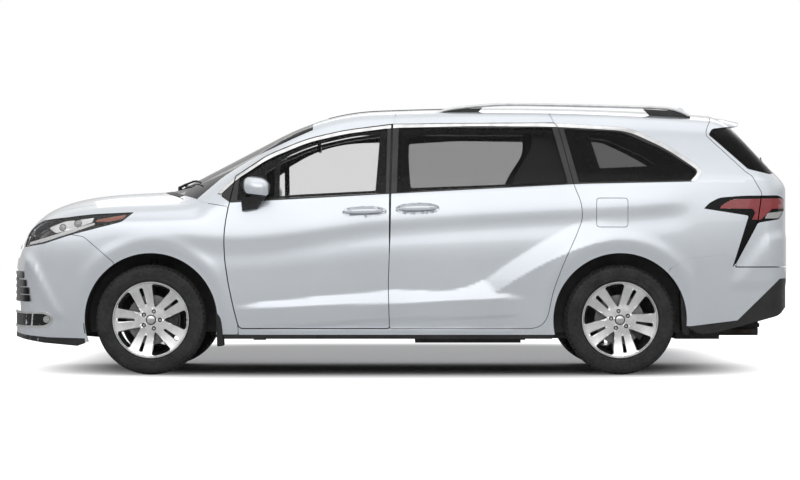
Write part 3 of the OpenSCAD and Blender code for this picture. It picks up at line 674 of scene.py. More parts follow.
def honeycomb():
    """Open black mesh, drawn as deep hexagon-like cells; their near-black centres are painted shade in the
    openings.
    """
    s = Shader("grille_mesh", 0.5)
    holes = s.cells(60, "DISTANCE_TO_EDGE")
    s.color(grey(6), grey(44), s.span(holes, 1, 0, 0.02, 0.07))
    s.bump(s.span(holes, 1, 0, 0.02, 0.1), 0.004, 1.0)
    return s.mat


GRILLE = honeycomb()
PAINT = paint_material()
TRIM = moulded("moulded_black", 34, 0.55)
FRAME = moulded("satin_black", 40, 0.36, 1500, 0.0001)
PIANO = gloss_black()
SEAL = moulded("rubber_seal", 22, 0.62, 600)
LINING = moulded("door_card", 78, 0.7, 500, 0.0004)
HEADLINER = moulded("headlining", 62, 0.9, 700, 0.0004)
CHROME = metal("bright_trim", 205, 232, 0.12)
RAIL = metal("satin_rail", 196, 214, 0.3)
ALLOY = metal("painted_alloy", 222, 240, 0.26, (60, 60, 60), 0.00004)
MACHINED = metal("turned_alloy", 200, 220, 0.2, (30, 500, 30))
STEEL = rough_iron("turned_steel", 120, 160, rough=0.4)
IRON = rough_iron("cast_iron", 66, 92)
SHEET = rough_iron("coated_sheet", 52, 78, rough=0.7)
EXHAUST = rough_iron("exhaust_steel", 84, 66, rgb(70, 58, 50), 0.5)
CLEAR_GLASS = glass_material("front_glass", 60, 0.1, 5, 0.0, 0.3)
PRIVACY = glass_material("privacy_glass", 16, 0.44, 5, 0.0, 0.2)
TINTED_GLASS = glass_material("tinted_glass", 24, 0.29, 5, 0.0, 0.2)
# The windscreen is near-black and mostly opaque: painted shade of the cabin seen through it.
SCREEN_GLASS = glass_material("screen_glass", 16, 0.8, 5, 0.0, 0.12)
CLEAR_LENS = lens_material("clear_lens", grey(235), grey(245), 0.05)
RED_LENS = lens_material("red_lens", rgb(150, 8, 20), rgb(188, 20, 32), 0.92)
AMBER = lens_material("amber_lens", rgb(160, 70, 36), rgb(190, 96, 56), 0.92)
RUNNING = lens_material("running_lamp", grey(225), grey(250), 1.0, 60)
REVERSE = lens_material("reversing_lens", grey(205), grey(235), 0.8, 120)
PROJECTOR = lens_material("projector_glass", grey(150), grey(215), 1.0, 30, "Z")
TANK = moulded("fuel_tank", 42, 0.5, 200, 0.0004)
PLATE = moulded("blank_plate", 226, 0.4, 300, 0.0001)
TYRE = rubber_material()
CLOTH = cloth_material("seat_cloth", 58, 92)
BOLSTER = leather_material("seat_leather", 44, 62)
WHEEL_SKIN = leather_material("wheel_leather", 30, 44)
DASH = moulded("dash_foam", 52, 0.6, 350, 0.0005)


def clothe(obj, *mats):
    obj.data.materials.clear()
    for m in mats:
        obj.data.materials.append(m)
    return obj


def fit(obj, body, slot, *nodes):
    """Hangs a finished piece on its body and hides the CAD nodes that it stands for; its slot is not used."""
    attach(obj, body)
    if nodes:
        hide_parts(*nodes)
    return obj


# -------- outlines of the panels, x and z
DOOR_FRONT = [
    (-1051, 304, 30), (-1088, 450, 30), (-1118, 595, 30), (-1140, 740, 30), (-1146, 840, 30),
    (-1145, 930, 30), (-1134, 1020, 30), (-1118, 1100, 20)
]
WINDOW_TOP = [(-1076, 1300, 0), (-868, 1440, 70), (-612, 1546, 90), (-362, 1604, 90), (-46, 1644, 4)]
PILLAR = [(-46, 1644, 4), (-59, 1167, 60), (-63, 927, 60), (-76, 595, 60), (-68, 304, 16)]
SLIDE_REAR = [
    (1013, 1652, 4), (1040, 1620, 20), (1137, 1229, 50), (1182, 1126, 50), (1189, 1018, 40),
    (1154, 927, 40), (1063, 727, 60), (996, 544, 60), (963, 378, 40), (922, 322, 30), (860, 304, 12)
]
FRONT_DOOR = DOOR_FRONT + WINDOW_TOP + PILLAR[1:]
SLIDING_DOOR = PILLAR[::-1] + SLIDE_REAR
FRONT_GLASS = [
    (-1062, 1140, 4), (-1052, 1290, 6), (-856, 1416, 60), (-606, 1522, 80), (-358, 1580, 80),
    (-82, 1616, 8), (-92, 1188, 8)
]
SLIDE_GLASS = [(-22, 1192, 8), (-8, 1620, 10), (1000, 1618, 10), (1096, 1250, 8)]
QUARTER_GLASS = [
    (1075, 1612, 10), (1455, 1592, 60), (1736, 1468, 70), (1930, 1338, 16), (1936, 1306, 16),
    (1895, 1272, 12), (1168, 1258, 8)
]
FRONT_CLEAR = [
    (-786, 1166, 8), (-786, 1398, 8), (-650, 1476, 60), (-521, 1527, 60), (-392, 1556, 60),
    (-263, 1567, 60), (-131, 1570, 12), (-160, 1203, 10), (-676, 1177, 30)
]
FRONT_QUARTER = [(-874, 1164, 6), (-874, 1326, 6), (-820, 1360, 6), (-820, 1166, 6)]
SLIDE_CLEAR = [
    (70, 1220, 14), (56, 1400, 60), (60, 1560, 24), (400, 1582, 90), (1000, 1574, 60), (1064, 1400, 40),
    (1074, 1258, 14)
]
QUARTER_CLEAR = [
    (1238, 1574, 16), (1420, 1576, 60), (1640, 1474, 60), (1800, 1384, 12), (1776, 1370, 8),
    (1306, 1350, 10)
]
BRIGHT_EDGE = [
    (-1196, 1184, 10), (-1076, 1300, 16), (-868, 1440, 70), (-612, 1546, 90), (-362, 1604, 90),
    (-46, 1644, 60), (500, 1656, 90), (1013, 1650, 90), (1500, 1622, 90), (1760, 1500, 90),
    (1965, 1352, 26), (1975, 1316, 26), (1925, 1262, 16)
]
GLASS_BAND = BRIGHT_EDGE + [(1168, 1246, 60), (-92, 1180, 60), (-1106, 1124, 8)]
TAILGATE = [
    (2066, 1900, 0), (2062, 1700, 10), (2012, 1610, 20), (2006, 1566, 20), (2262, 1322, 20),
    (2298, 1300, 16), (2362, 1186, 20), (2333, 994, 30), (2185, 723, 14), (2190, 705, 4), (2800, 705, 0),
    (2800, 1900, 0)
]
REAR_GLASS = [
    (2026, 1572, 8), (2050, 1612, 16), (2216, 1634, 10), (2420, 1634, 0), (2620, 1352, 0), (2486, 1337, 16),
    (2422, 1310, 16), (2275, 1345, 8)
]
TAIL_LAMP = [
    (1981, 1086, 6), (2019, 1124, 20), (2084, 1157, 20), (2239, 1170, 60), (2475, 1172, 20),
    (2521, 1144, 10), (2521, 1084, 10), (2479, 1018, 20), (2333, 994, 20), (2185, 723, 6), (2169, 707, 3),
    (2275, 1040, 14)
]
REAR_BUMPER = [
    (1754, 692, 20), (1878, 762, 40), (2159, 788, 8), (2182, 730, 4), (2188, 703, 0), (2800, 703, 0),
    (2800, 434, 0), (2525, 434, 20), (2479, 388, 30), (2067, 276, 40), (1960, 265, 30), (1894, 303, 10),
    (1754, 360, 0)
]
SCREEN = [
    (-1900, 1290, 0), (-1600, 1224, 0), (-1330, 1150, 0), (-1150, 1310, 60), (-930, 1440, 60),
    (-700, 1550, 40), (-575, 1606, 10), (-575, 1900, 0), (-1900, 1900, 0)
]
HEADLAMP = [
    (-1740, 1062, 6), (-2000, 1050, 60), (-2365, 1008, 30), (-2462, 946, 20), (-2478, 832, 10),
    (-2330, 856, 30), (-2150, 915, 40), (-1816, 1000, 20)
]
WING = (
    [(-1056, 262, 0)] + DOOR_FRONT
    + [
        (-1290, 1128, 0), (-1450, 1165, 0), (-2365, 1300, 0), (-2365, 1008, 0), (-2150, 915, 0),
        (-2065, 901, 20), (-1870, 735, 10), (-1870, 262, 0)
    ]
)
FRONT_BUMPER = [
    (-2700, 251, 0), (-2500, 236, 0), (-2135, 190, 40), (-1870, 260, 0), (-1870, 735, 10), (-2065, 901, 20),
    (-2150, 915, 0), (-2365, 1008, 0), (-2365, 1300, 0), (-2700, 1300, 0)
]
BODY_SIDE = (
    [(-1052, 263, 0), (-1056, 400, 0)] + DOOR_FRONT
    + [
        (-1290, 1128, 0), (-1330, 1150, 0), (-1150, 1310, 60), (-930, 1440, 60), (-700, 1550, 40),
        (-575, 1606, 0), (-575, 1900, 0)
    ]
    + TAILGATE[:9] + [(2159, 788, 8), (1878, 762, 40), (1754, 692, 10), (1754, 263, 0)]
)
FLAP = [(1282, 967, 22), (1483, 967, 22), (1483, 1153, 22), (1282, 1153, 22)]
BONNET_HALF = [
    (-1610, 0), (-1590, 250), (-1530, 500), (-1432, 730), (-1800, 735), (-2150, 690), (-2370, 590),
    (-2440, 400), (-2476, 180), (-2484, 0)
]
BONNET = BONNET_HALF + [(x, -y) for x, y in BONNET_HALF[-2:0:-1]]
GRILLE_UPPER = [
    (-560, 905, 20), (-590, 800, 30), (-540, 760, 20), (540, 760, 20), (590, 800, 30), (560, 905, 20)
]
GRILLE_LOWER = [
    (-520, 690, 30), (-700, 420, 40), (-640, 320, 30), (640, 320, 30), (700, 420, 40), (520, 690, 30)
]


# -------- solids that the panels are cut from
# Rows at the nose, along the middle and at the tail, and points around
FINE = (60, 230, 45, 280)
MEDIUM = (34, 120, 26, 168)
COARSE = (18, 60, 14, 96)


def closed(name, level, *counts):
    points, quads, caps = body_ball(level, *counts)
    obj = face_outwards(mesh_object(name, points, quads.tolist() + caps.tolist()))
    CUTTERS.append(obj)
    return obj


def kept(name, base, *steps):
    """A carved solid that is itself only a cutter."""
    obj = carved(name, base, *steps)
    CUTTERS.append(obj)
    return obj


def layer(name, outer, inner, counts=MEDIUM):
    """The space between two levels of the skin."""
    return kept(name, closed(name + "_out", outer, *counts), ("-", closed(name + "_in", inner, *COARSE)))


def rect(x0, x1, z0, z1):
    return [(x0, z0), (x1, z0), (x1, z1), (x0, z1)]


SKIN = closed("skin", 0, *FINE)
WALL_IN = closed("wall_in", -DOOR_WALL, *COARSE)
SKIN_IN = closed("skin_in", -SKIN_WALL, *COARSE)
INLAY_OUT = closed("inlay_out", 8, *COARSE)
INLAY_IN = closed("inlay_in", -5, *MEDIUM)
BELT_UP = across([(-1500, belt_z(-1500)), (-1500, 2000), (2100, 2000), (2100, belt_z(2100))])
HOLLOW = kept("hollow", WALL_IN, ("+", kept("upper_hollow", SKIN_IN, ("&", BELT_UP))))
LEFT_SKIN = kept("left_skin", SKIN, ("&", side(np.array(rect(-2700, 2700, 150, 1790)))), ("-", HOLLOW))
ARCHES = [side(disc(x, HUB_Z, ARCH_R)) for x in (FRONT_X, REAR_X)]
INLAY = kept("inlay", INLAY_OUT, ("&", side(rounded(GLASS_BAND))), ("-", INLAY_IN))


# -------- painted panels
def panel(name, base, steps, body, slot, mats, nodes=(), levels=(0.0,), slack=3.0):
    """Cuts and shades a panel: outer face and edges in mats[0], each further level in the next one."""
    obj = carved(name, base, *steps)
    kind = dress(obj, levels, slack)
    clothe(obj, *mats)
    index = np.clip(kind, 0, len(mats) - 1)
    obj.data.polygons.foreach_set("material_index", index.astype(np.int32))
    return fit(obj, body, slot, *nodes)


def pair(name, base, steps, bodies, slot, mats, nodes=((), ()), levels=(0.0,), slack=3.0, right_steps=None):
    """The left panel and its mirror image."""
    left = panel(name + "_left", base, steps, bodies[0], slot, mats, nodes[0], levels, slack)
    if right_steps is not None:
        source = panel(name + "_right", base, right_steps, bodies[0], slot, mats, (), levels, slack)
        right = mirrored(source, name + "_right")
        bpy.data.objects.remove(source)
        right.name = name + "_right"
    else:
        right = mirrored(left, name + "_right")
    fit(right, bodies[1], slot, *nodes[1])
    return left, right


def sheet(name, levels, steps, slot, mat, bodies=("car_body", "car_body"), counts=COARSE):
    """A pair of thin pieces between two levels of the skin."""
    return pair(name, layer(name + "_layer", *levels, counts), steps, bodies, slot, (mat,), levels=levels)


OWN = ("car_body", "car_body")
DOORS = ("left_door", "right_door")
BODY_LEVELS = (0.0, -DOOR_WALL, -SKIN_WALL)
BODY_LOOK = ("body_paint", (PAINT, LINING, LINING))
front_door = rounded(FRONT_DOOR)
slide_door = rounded(SLIDING_DOOR)
front_glass = rounded(FRONT_GLASS)
slide_glass = rounded(SLIDE_GLASS)
quarter_glass = rounded(QUARTER_GLASS)
tail_lamp = rounded(TAIL_LAMP)
headlamp = rounded(HEADLAMP)
tailgate = rounded(TAILGATE)
rear_glass = rounded(REAR_GLASS)
screen = rounded(SCREEN)
bonnet = np.array(BONNET, float)
flap = rounded(FLAP)
bonnet_hole = prism(offset(bonnet, 8), *BONNET_ZONE)
roof_box = prism(rect(-575, 2100, -640, 640), *ROOF_ZONE)
roof_inset = prism(rect(-572, 2055, -637, 637), *ROOF_ZONE)
flap_pocket = kept(
    "flap_pocket", INLAY_OUT, ("&", side(flap, 3.5)), ("-", closed("pocket_floor", -44, *COARSE))
)
front_slot = side(front_door, 3.5)
slide_slot = side(slide_door, 2.5)
roof_seams = [
    side([(x, 1640), (x + 5, 1640), (x + lean + 5, 1716), (x + lean, 1716)], 0, 500)
    for x, lean in ((-42, 10), (1016, -34))
]
shallow = closed("shallow", -6, *COARSE)
seams = [kept("seam", seam, ("-", shallow)) for seam in roof_seams]

side_steps = [
    ("&", across(rounded(BODY_SIDE), -0.3)), ("-", front_slot), ("-", slide_slot),
    ("-", side(quarter_glass)), ("-", side(tail_lamp, 0.5))
]
side_steps += [("-", a) for a in ARCHES] + [("-", roof_box), ("-", INLAY)] + [("-", s) for s in seams]
pair(
    "side_skin", LEFT_SKIN, side_steps + [("-", flap_pocket)], OWN, *BODY_LOOK,
    (("body_side_left",), ("body_side_right",)), BODY_LEVELS, right_steps=side_steps
)

door_pillar_gap = across([(-46, 1700), (-58, 1644), (-72, 1167), (-72, 500), (-68, 290), (0, 290), (0, 1700)])
front_scoop, slide_scoop = scoop("front_scoop", -233, 1068), scoop("slide_scoop", 113, 1088)
pair(
    "front_door_skin", LEFT_SKIN,
    [
        ("&", side(front_door, -3.5)), ("-", door_pillar_gap), ("-", side(front_glass)), ("-", INLAY),
        ("-", front_scoop)
    ],
    DOORS, *BODY_LOOK, (("front_door_left",), ("front_door_right",)), BODY_LEVELS
)
pair(
    "sliding_door_skin", LEFT_SKIN,
    [("&", side(slide_door, -1.5)), ("-", side(slide_glass)), ("-", INLAY), ("-", slide_scoop)], OWN,
    *BODY_LOOK, (("sliding_door_left",), ("sliding_door_right",)), BODY_LEVELS
)
pair(
    "wing_skin", LEFT_SKIN,
    [
        ("&", side(rounded(WING), -3.5)), ("-", side(headlamp, 1)), ("-", bonnet_hole),
        ("-", across(offset(screen, 60))), ("-", ARCHES[0])
    ],
    OWN, *BODY_LOOK, (("wing_left",), ("wing_right",)), BODY_LEVELS
)

wide_base = kept("wide_base", SKIN, ("-", SKIN_IN))
SHELL_LEVELS = (0.0, -SKIN_WALL)
panel(
    "roof_skin", wide_base, [("&", roof_inset), ("-", across(offset(tailgate, 4)))], "car_body",
    "body_paint", (PAINT, HEADLINER), ("roof_panel",), SHELL_LEVELS
)
panel(
    "bonnet_skin", wide_base, [("&", prism(bonnet, *BONNET_ZONE))], "bonnet_lid", "body_paint",
    (PAINT, TRIM), ("bonnet",), SHELL_LEVELS
)
upper_grille = prism(rounded(GRILLE_UPPER), *NOSE)
lower_grille = prism(rounded(GRILLE_LOWER), *NOSE)
right_arches = [prism(disc(x, HUB_Z, ARCH_R), 300, FAR_Y) for x in (FRONT_X, REAR_X)]
both_lamps = [side(headlamp, 1), prism(offset(headlamp, 1), 300, FAR_Y)]
both_tails = [side(tail_lamp, 1), prism(offset(tail_lamp, 1), 300, FAR_Y)]
panel(
    "front_bumper_skin", wide_base,
    [("&", across(rounded(FRONT_BUMPER), -0.3))] + [("-", c) for c in both_lamps] + [
        ("-", prism(offset(bonnet, 10), *BONNET_ZONE)), ("-", upper_grille), ("-", lower_grille),
        ("-", ARCHES[0]), ("-", right_arches[0])
    ],
    "car_body", "body_paint", (PAINT, TRIM), ("front_bumper",), SHELL_LEVELS
)
panel(
    "tailgate_skin", wide_base,
    [("&", across(tailgate, -3.5)), ("-", across(rear_glass))] + [("-", c) for c in both_tails],
    "rear_gate", "body_paint", (PAINT, LINING), ("tailgate",), SHELL_LEVELS
)
valance = [(1700, 200), (1700, 330), (1894, 319), (2202, 357), (2479, 629), (2800, 640), (2800, 200)]
bumper_steps = [
    ("&", across(rounded(REAR_BUMPER), -0.3)), ("-", across(tailgate, 3.5)), ("-", ARCHES[1]),
    ("-", right_arches[1])
]
panel(
    "rear_bumper_skin", wide_base,
    bumper_steps + [("-", c) for c in both_tails] + [("-", across(np.array(valance, float)))], "car_body",
    "body_paint", (PAINT, TRIM), ("rear_bumper",), SHELL_LEVELS
)
panel(
    "rear_valance", wide_base, bumper_steps + [("&", across(np.array(valance, float), -1))], "car_body",
    "dark_trim", (TRIM, TRIM), (), SHELL_LEVELS
)
panel(
    "filler_flap_skin", SKIN, [("-", closed("flap_in", -3, *MEDIUM)), ("&", side(flap, -0.5))],
    "filler_flap", "body_paint", (PAINT,), ("fuel_flap",), (0.0, -3.0)
)
cowl = kept(
    "cowl", wide_base, ("&", prism(rect(-1650, -1200, -800, 800), *COWL_ZONE)), ("-", bonnet_hole),
    ("-", across(screen, 0.5)), ("-", across(rounded(BODY_SIDE))),
    ("-", kept("wing_zone", across(rounded(WING)), ("-", across(offset(screen, 60)))))
)
cowl_mid = prism(rect(-1650, -1200, -650, 650), *COWL_ZONE)
panel(
    "cowl_cover", cowl, [("&", cowl_mid)], "car_body", "dark_trim", (TRIM, TRIM), ("cowl_panel",),
    SHELL_LEVELS
)
panel("cowl_corners", cowl, [("-", cowl_mid)], "car_body", "body_paint", (PAINT, TRIM), (), SHELL_LEVELS)

# -------- glass and its black surrounds
GLASS_OUT = closed("glass_out", -3, *MEDIUM)
GLASS_IN = closed("glass_in", -8, *COARSE)
BORDER_OUT = closed("border_out", -8.6, *COARSE)
BORDER_IN = closed("border_in", -16, *COARSE)
FRAME_OUT = closed("frame_out", -0.8, *MEDIUM)
GLASS_LEVELS = (-3.0, -8.0)
BORDER_LEVELS = (-8.6, -16.0)
pane = kept("pane", GLASS_OUT, ("-", GLASS_IN))
border = kept("border", BORDER_OUT, ("-", BORDER_IN))
frame_layer = kept("frame_layer", FRAME_OUT, ("-", INLAY_IN), ("&", side(rounded(GLASS_BAND), -1)))
bright_zone = side(rounded(BRIGHT_EDGE + [(1168, 1400, 0), (-1000, 1200, 0)]), -1)
inner_edge = [
    (-1165, 1186, 10), (-1070, 1276, 20), (-868, 1412, 70), (-612, 1519, 90), (-362, 1578, 90),
    (-46, 1619, 60), (500, 1631, 90), (1013, 1626, 90), (1494, 1598, 90), (1742, 1480, 90),
    (1936, 1346, 26), (1944, 1320, 26), (1900, 1270, 10), (1895, 1200, 0), (-1165, 1100, 0)
]
inner_edge = across(rounded(inner_edge))
pair(
    "front_pane", pane, [("&", side(front_glass, -0.5))], DOORS, "front_glass", (CLEAR_GLASS,),
    (("front_window_left",), ("front_window_right",)), GLASS_LEVELS
)
pair(
    "front_border", border,
    [("&", side(front_glass, -1)), ("-", side(rounded(FRONT_CLEAR))), ("-", side(rounded(FRONT_QUARTER)))],
    DOORS, "dark_trim", (PIANO,), levels=BORDER_LEVELS
)
pair(
    "slide_pane", pane, [("&", side(slide_glass, -0.5))], OWN, "privacy_glass", (TINTED_GLASS,),
    (("side_windows",), ()), GLASS_LEVELS
)
pair(
    "slide_border", border, [("&", side(slide_glass, -1)), ("-", side(rounded(SLIDE_CLEAR)))], OWN,
    "dark_trim", (PIANO,), levels=BORDER_LEVELS
)
pair(
    "quarter_pane", pane, [("&", side(quarter_glass, -0.5))], OWN, "privacy_glass", (PRIVACY,),
    (("side_windows",), ()), GLASS_LEVELS
)
pair(
    "quarter_border", border, [("&", side(quarter_glass, -1)), ("-", side(rounded(QUARTER_CLEAR)))], OWN,
    "dark_trim", (PIANO,), levels=BORDER_LEVELS
)

door_zone, slide_zone = side(front_door, -3.5), side(slide_door, -1.5)
for_door = [("&", door_zone), ("-", door_pillar_gap), ("-", side(front_glass))]
for_slide = [("&", slide_zone), ("-", side(slide_glass))]
for_side = [("-", front_slot), ("-", slide_slot), ("-", side(quarter_glass))]
BAND_LEVELS = (-0.8, -5.0)
bright_layer = kept(
    "bright_layer", closed("bright_out", 3, *MEDIUM), ("-", INLAY_IN), ("&", bright_zone), ("-", inner_edge)
)
for label, steps, bodies in (
    ("front_door", for_door, DOORS), ("sliding_door", for_slide, OWN), ("pillar", for_side, OWN)
):
    pair(
        label + "_frame", frame_layer, [("&", inner_edge)] + steps, bodies, "dark_trim", (FRAME,),
        levels=BAND_LEVELS
    )
    pair(label + "_bright_strip", bright_layer, steps, bodies, "rail_metal", (CHROME,), levels=(3.0, -5.0))

panel(
    "screen_pane", pane, [("&", across(screen, -0.5)), ("-", roof_box)], "car_body", "front_glass",
    (SCREEN_GLASS,), ("windscreen",), GLASS_LEVELS
)
screen_clear = prism(
    [(-1370, -560), (-1430, 0), (-1370, 560), (-700, 520), (-660, 0), (-700, -520)], 1000, 1700, "plan"
)
panel(
    "screen_border", border, [("&", across(screen, -1)), ("-", roof_box), ("-", screen_clear)], "car_body",
    "dark_trim", (PIANO,), (), BORDER_LEVELS
)
panel(
    "rear_pane", pane, [("&", across(rear_glass, -0.5))], "rear_gate", "privacy_glass", (PRIVACY,),
    ("rear_window",), GLASS_LEVELS
)
rear_clear = prism(
    rounded([(-560, 1400, 60), (560, 1400, 60), (500, 1600, 60), (-500, 1600, 60)]), 2000, 2800, "end"
)
panel(
    "rear_border", border, [("&", across(rear_glass, -1)), ("-", rear_clear)], "rear_gate", "dark_trim",
    (PIANO,), (), BORDER_LEVELS
)


# -------- small-part builders
def finished(obj, angle=32):
    """Smooth shading with sharp edges above an angle."""
    mesh = obj.data
    mesh.polygons.foreach_set("use_smooth", np.ones(len(mesh.polygons), bool))
    mesh.set_sharp_from_angle(angle=math.radians(angle))
    return obj


def made(name, points, faces, angle=32):
    """A mesh object from points in millimetres, its faces turned outwards."""
    return finished(face_outwards(mesh_object(name, points, faces)), angle)


def joined(name, objs, angle=32):
    """One object out of several, each keeping its material."""
    mats = []
    points, faces, index = [], [], []
    for o in objs:
        start = len(points)
        points += [v.co[:] for v in o.data.vertices]
        local = [
            mats.index(m) if m in mats else mats.append(m) or len(mats) - 1 for m in o.data.materials
        ] or [0]
        for p in o.data.polygons:
            faces.append([start + i for i in p.vertices])
            index.append(local[min(p.material_index, len(local) - 1)])
    mesh = bpy.data.meshes.new(name)
    mesh.from_pydata(points, [], faces)
    for m in mats:
        mesh.materials.append(m)
    mesh.polygons.foreach_set("material_index", np.array(index, np.int32))
    for o in objs:
        bpy.data.objects.remove(o)
    return finished(linked(name, mesh), angle)


def grid_faces(rows, cols, wrap_rows=False, wrap_cols=True):
    faces = []
    for i in range(rows if wrap_rows else rows - 1):
        for j in range(cols if wrap_cols else cols - 1):
            a, b = i * cols + j, i * cols + (j + 1) % cols
            k = (i + 1) % rows
            faces.append([a, b, k * cols + (j + 1) % cols, k * cols + j])
    return faces


def lathe(name, profile, steps=72, closed_profile=True, angle=32):
    """Profile points (radius, w) turned about the y axis, w pointing out of the car's left side."""
    p = np.asarray(profile, float)
    a = 2 * math.pi * np.arange(steps) / steps
    points = np.stack(
        [p[:, :1] * np.cos(a), np.repeat(-p[:, 1:], steps, 1), p[:, :1] * np.sin(a)], -1
    ).reshape(-1, 3)
    faces = grid_faces(len(p), steps, closed_profile)
    if not closed_profile:
        faces += [list(range(steps)), list(range((len(p) - 1) * steps, len(p) * steps))]
    return made(name, points, faces, angle)


def loft(name, sections, angle=32, caps=True):
    """A skin over closed sections that all have the same number of points."""
    s = np.asarray(sections, float)
    rows, cols = s.shape[:2]
    faces = grid_faces(rows, cols)
    if caps:
        faces += [list(range(cols)), list(range((rows - 1) * cols, rows * cols))]
    return made(name, s.reshape(-1, 3), faces, angle)


def tube(name, path, sizes, power=2.0, sides=16, up=(0, 0, 1), angle=50):
    """A rounded bar along a path, with its half width and half height at each point."""
    p = np.asarray(path, float)
    size = np.broadcast_to(np.asarray(sizes, float), (len(p), 2))
    way = np.gradient(p, axis=0)
    way /= np.linalg.norm(way, axis=1, keepdims=True)
    side_way = np.cross(way, np.asarray(up, float))
    side_way /= np.linalg.norm(side_way, axis=1, keepdims=True)
    over = np.cross(side_way, way)
    ring = oval(sides, 1, 1, power)
    s = (
        p[:, None] + ring[None, :, :1] * size[:, None, :1] * side_way[:, None]
        + ring[None, :, 1:] * size[:, None, 1:] * over[:, None]
    )
    return loft(name, s, angle)


def curve(points, n):
    """n points along a smooth curve through the given ones."""
    p = np.asarray(points, float)
    t = np.linspace(0, len(p) - 1, n)
    i = np.clip(t.astype(int), 0, len(p) - 2)
    f = (t - i)[:, None]
    a, b, c, d = p[np.maximum(i - 1, 0)], p[i], p[i + 1], p[np.minimum(i + 2, len(p) - 1)]
    return 0.5 * (2 * b + (c - a) * f + (2 * a - 5 * b + 4 * c - d) * f**2 + (3 * b - a - 3 * c + d) * f**3)


def softened(obj, width, segments=2, angle=32):
    """Rounds the sharp edges of a piece and shades it again."""
    m = obj.modifiers.new("soft", "BEVEL")
    m.width, m.segments, m.limit_method = width * MM, segments, "ANGLE"
    m.angle_limit = math.radians(angle)
    m.use_clamp_overlap = True
    mesh = evaluated(obj)
    obj.modifiers.clear()
    obj.data = mesh
    return finished(obj, angle)


def moved(obj, name, move=(0, 0, 0), turn=0.0, flip=False):
    """A copy, turned about the y axis, then moved, then mirrored to the right side."""
    mesh = obj.data.copy()
    mesh.name = name
    mesh.transform(Matrix.Translation(Vector(move) * MM) @ Matrix.Rotation(math.radians(turn), 4, "Y"))
    if flip:
        mesh.transform(Matrix.Scale(-1, 4, (0, 1, 0)))
        mesh.flip_normals()
    return linked(name, mesh)


def both(obj, name, bodies, slot, nodes=((), ())):
    """Names a left-hand piece, adds its mirror image, and hangs both."""
    right = moved(obj, name + "_right", flip=True)
    obj.name = name + "_left"
    fit(obj, bodies[0], slot, *nodes[0])
    fit(right, bodies[1], slot, *nodes[1])
    return obj, right


def block(name, x, y, z, mat, bevel=4.0, segments=2):
    """A rounded box between two corners, for parts hidden deep in the car."""
    obj = prism([(x[0], y[0]), (x[1], y[0]), (x[1], y[1]), (x[0], y[1])], z[0], z[1], "plan")
    CUTTERS.remove(obj)
    obj.name = name
    clothe(obj, mat)
    return softened(obj, bevel, segments)


# -------- wheels
PAIRS = 5
STEP = 360 / PAIRS
LUG_R = 58.0


def at_angle(points, degrees):
    a = math.radians(degrees)
    p = np.asarray(points, float)
    return np.stack(
        [p[:, 0] * math.cos(a) - p[:, 1] * math.sin(a), p[:, 0] * math.sin(a) + p[:, 1] * math.cos(a)], 1
    )


def drafted(outline, back_w, front_w, back_grow, front_grow):
    """Cutter through the rim face that opens towards the front."""
    back, front = offset(outline, back_grow), offset(outline, front_grow)
    n = len(back)
    v = np.concatenate(
        [
            np.stack([back[:, 0], np.full(n, -back_w), back[:, 1]], 1),
            np.stack([front[:, 0], np.full(n, -front_w), front[:, 1]], 1)
        ]
    )
    faces = (
        [list(range(n)), list(range(2 * n - 1, n - 1, -1))]
        + [[i, n + i, n + (i + 1) % n, (i + 1) % n] for i in range(n)]
    )
    obj = made("cutter", v, faces)
    CUTTERS.append(obj)
    return obj


def rim_piece():
    barrel = lathe(
        "rim_barrel",
        [
            (250, 963), (248, 966), (243, 966), (240, 962), (237, 950), (235, 930), (222, 900), (214, 870),
            (224, 780), (236, 756), (240, 747), (247, 745), (250, 748), (249, 756), (243, 764), (232, 785),
            (222, 870), (232, 905), (243, 945), (249, 955)
        ],
        96
    )
    face = lathe(
        "rim_face",
        [
            (0, 938), (60, 940), (84, 938), (120, 937), (165, 943), (205, 950), (226, 955), (238, 957),
            (238, 934), (222, 926), (165, 912), (110, 900), (60, 896), (0, 896)
        ],
        120, False
    )
    window = rounded(
        [
            (84, 0, 8), (112, 16, 30), (222, 62, 14), (229, 34, 20), (232, 0, 20), (229, -34, 20),
            (222, -62, 14), (112, -16, 30)
        ]
    )
    slot = rounded([(108, -6, 5), (108, 6, 5), (214, 10, 7), (214, -10, 7)])
    lug = disc(LUG_R, 0, 12, 20)
    steps = []
    for k in range(PAIRS):
        steps.append(("-", drafted(at_angle(window, STEP * k), 880, 962, -7, 5)))
        steps.append(("-", drafted(at_angle(slot, STEP * (k + 0.5)), 880, 962, -2, 4)))
        steps.append(("-", drafted(at_angle(lug, STEP * k), 918, 962, 0, 5)))
    cut = carved("rim_cut", face, *steps)
    bpy.data.objects.remove(face)
    softened(cut, 3.0, 2, 28)
    clothe(cut, ALLOY)
    clothe(barrel, ALLOY)
    cap = lathe(
        "cap", [(0, 951), (12, 950.6), (22, 948.6), (27, 945), (29, 938), (29, 930), (0, 930)], 40, False
    )
    ring = lathe("cap_ring", [(29, 941), (30, 943.5), (33, 943.5), (34, 940), (34, 934), (29, 934)], 40)
    parts = [cut, barrel, clothe(cap, MACHINED), clothe(ring, TRIM)]
    for k in range(PAIRS):
        a = math.radians(STEP * k)
        # The floor of each nut's bore is a gloss-black disc: painted shade round the nut.
        pit = lathe("pit", [(0, 919), (12.5, 919), (12.5, 922), (0, 922)], 20, False)
        nut = lathe("nut", [(0, 938), (5, 938), (8.4, 935), (9.4, 930), (9.4, 919), (0, 919)], 6, False, 20)
        for part, mat in ((pit, PIANO), (nut, CHROME)):
            part.data.transform(
                Matrix.Translation(Vector((LUG_R * math.cos(a), 0, LUG_R * math.sin(a))) * MM)
            )
            parts.append(clothe(part, mat))
    stem = tube(
        "stem", [(226, -944, 0), (226, -958, 0), (224, -968, 0)], [(4, 4), (3.6, 3.6), (3, 3)], up=(0, 0, 1)
    )
    parts.append(clothe(stem, SEAL))
    return joined("rim", parts, 30)


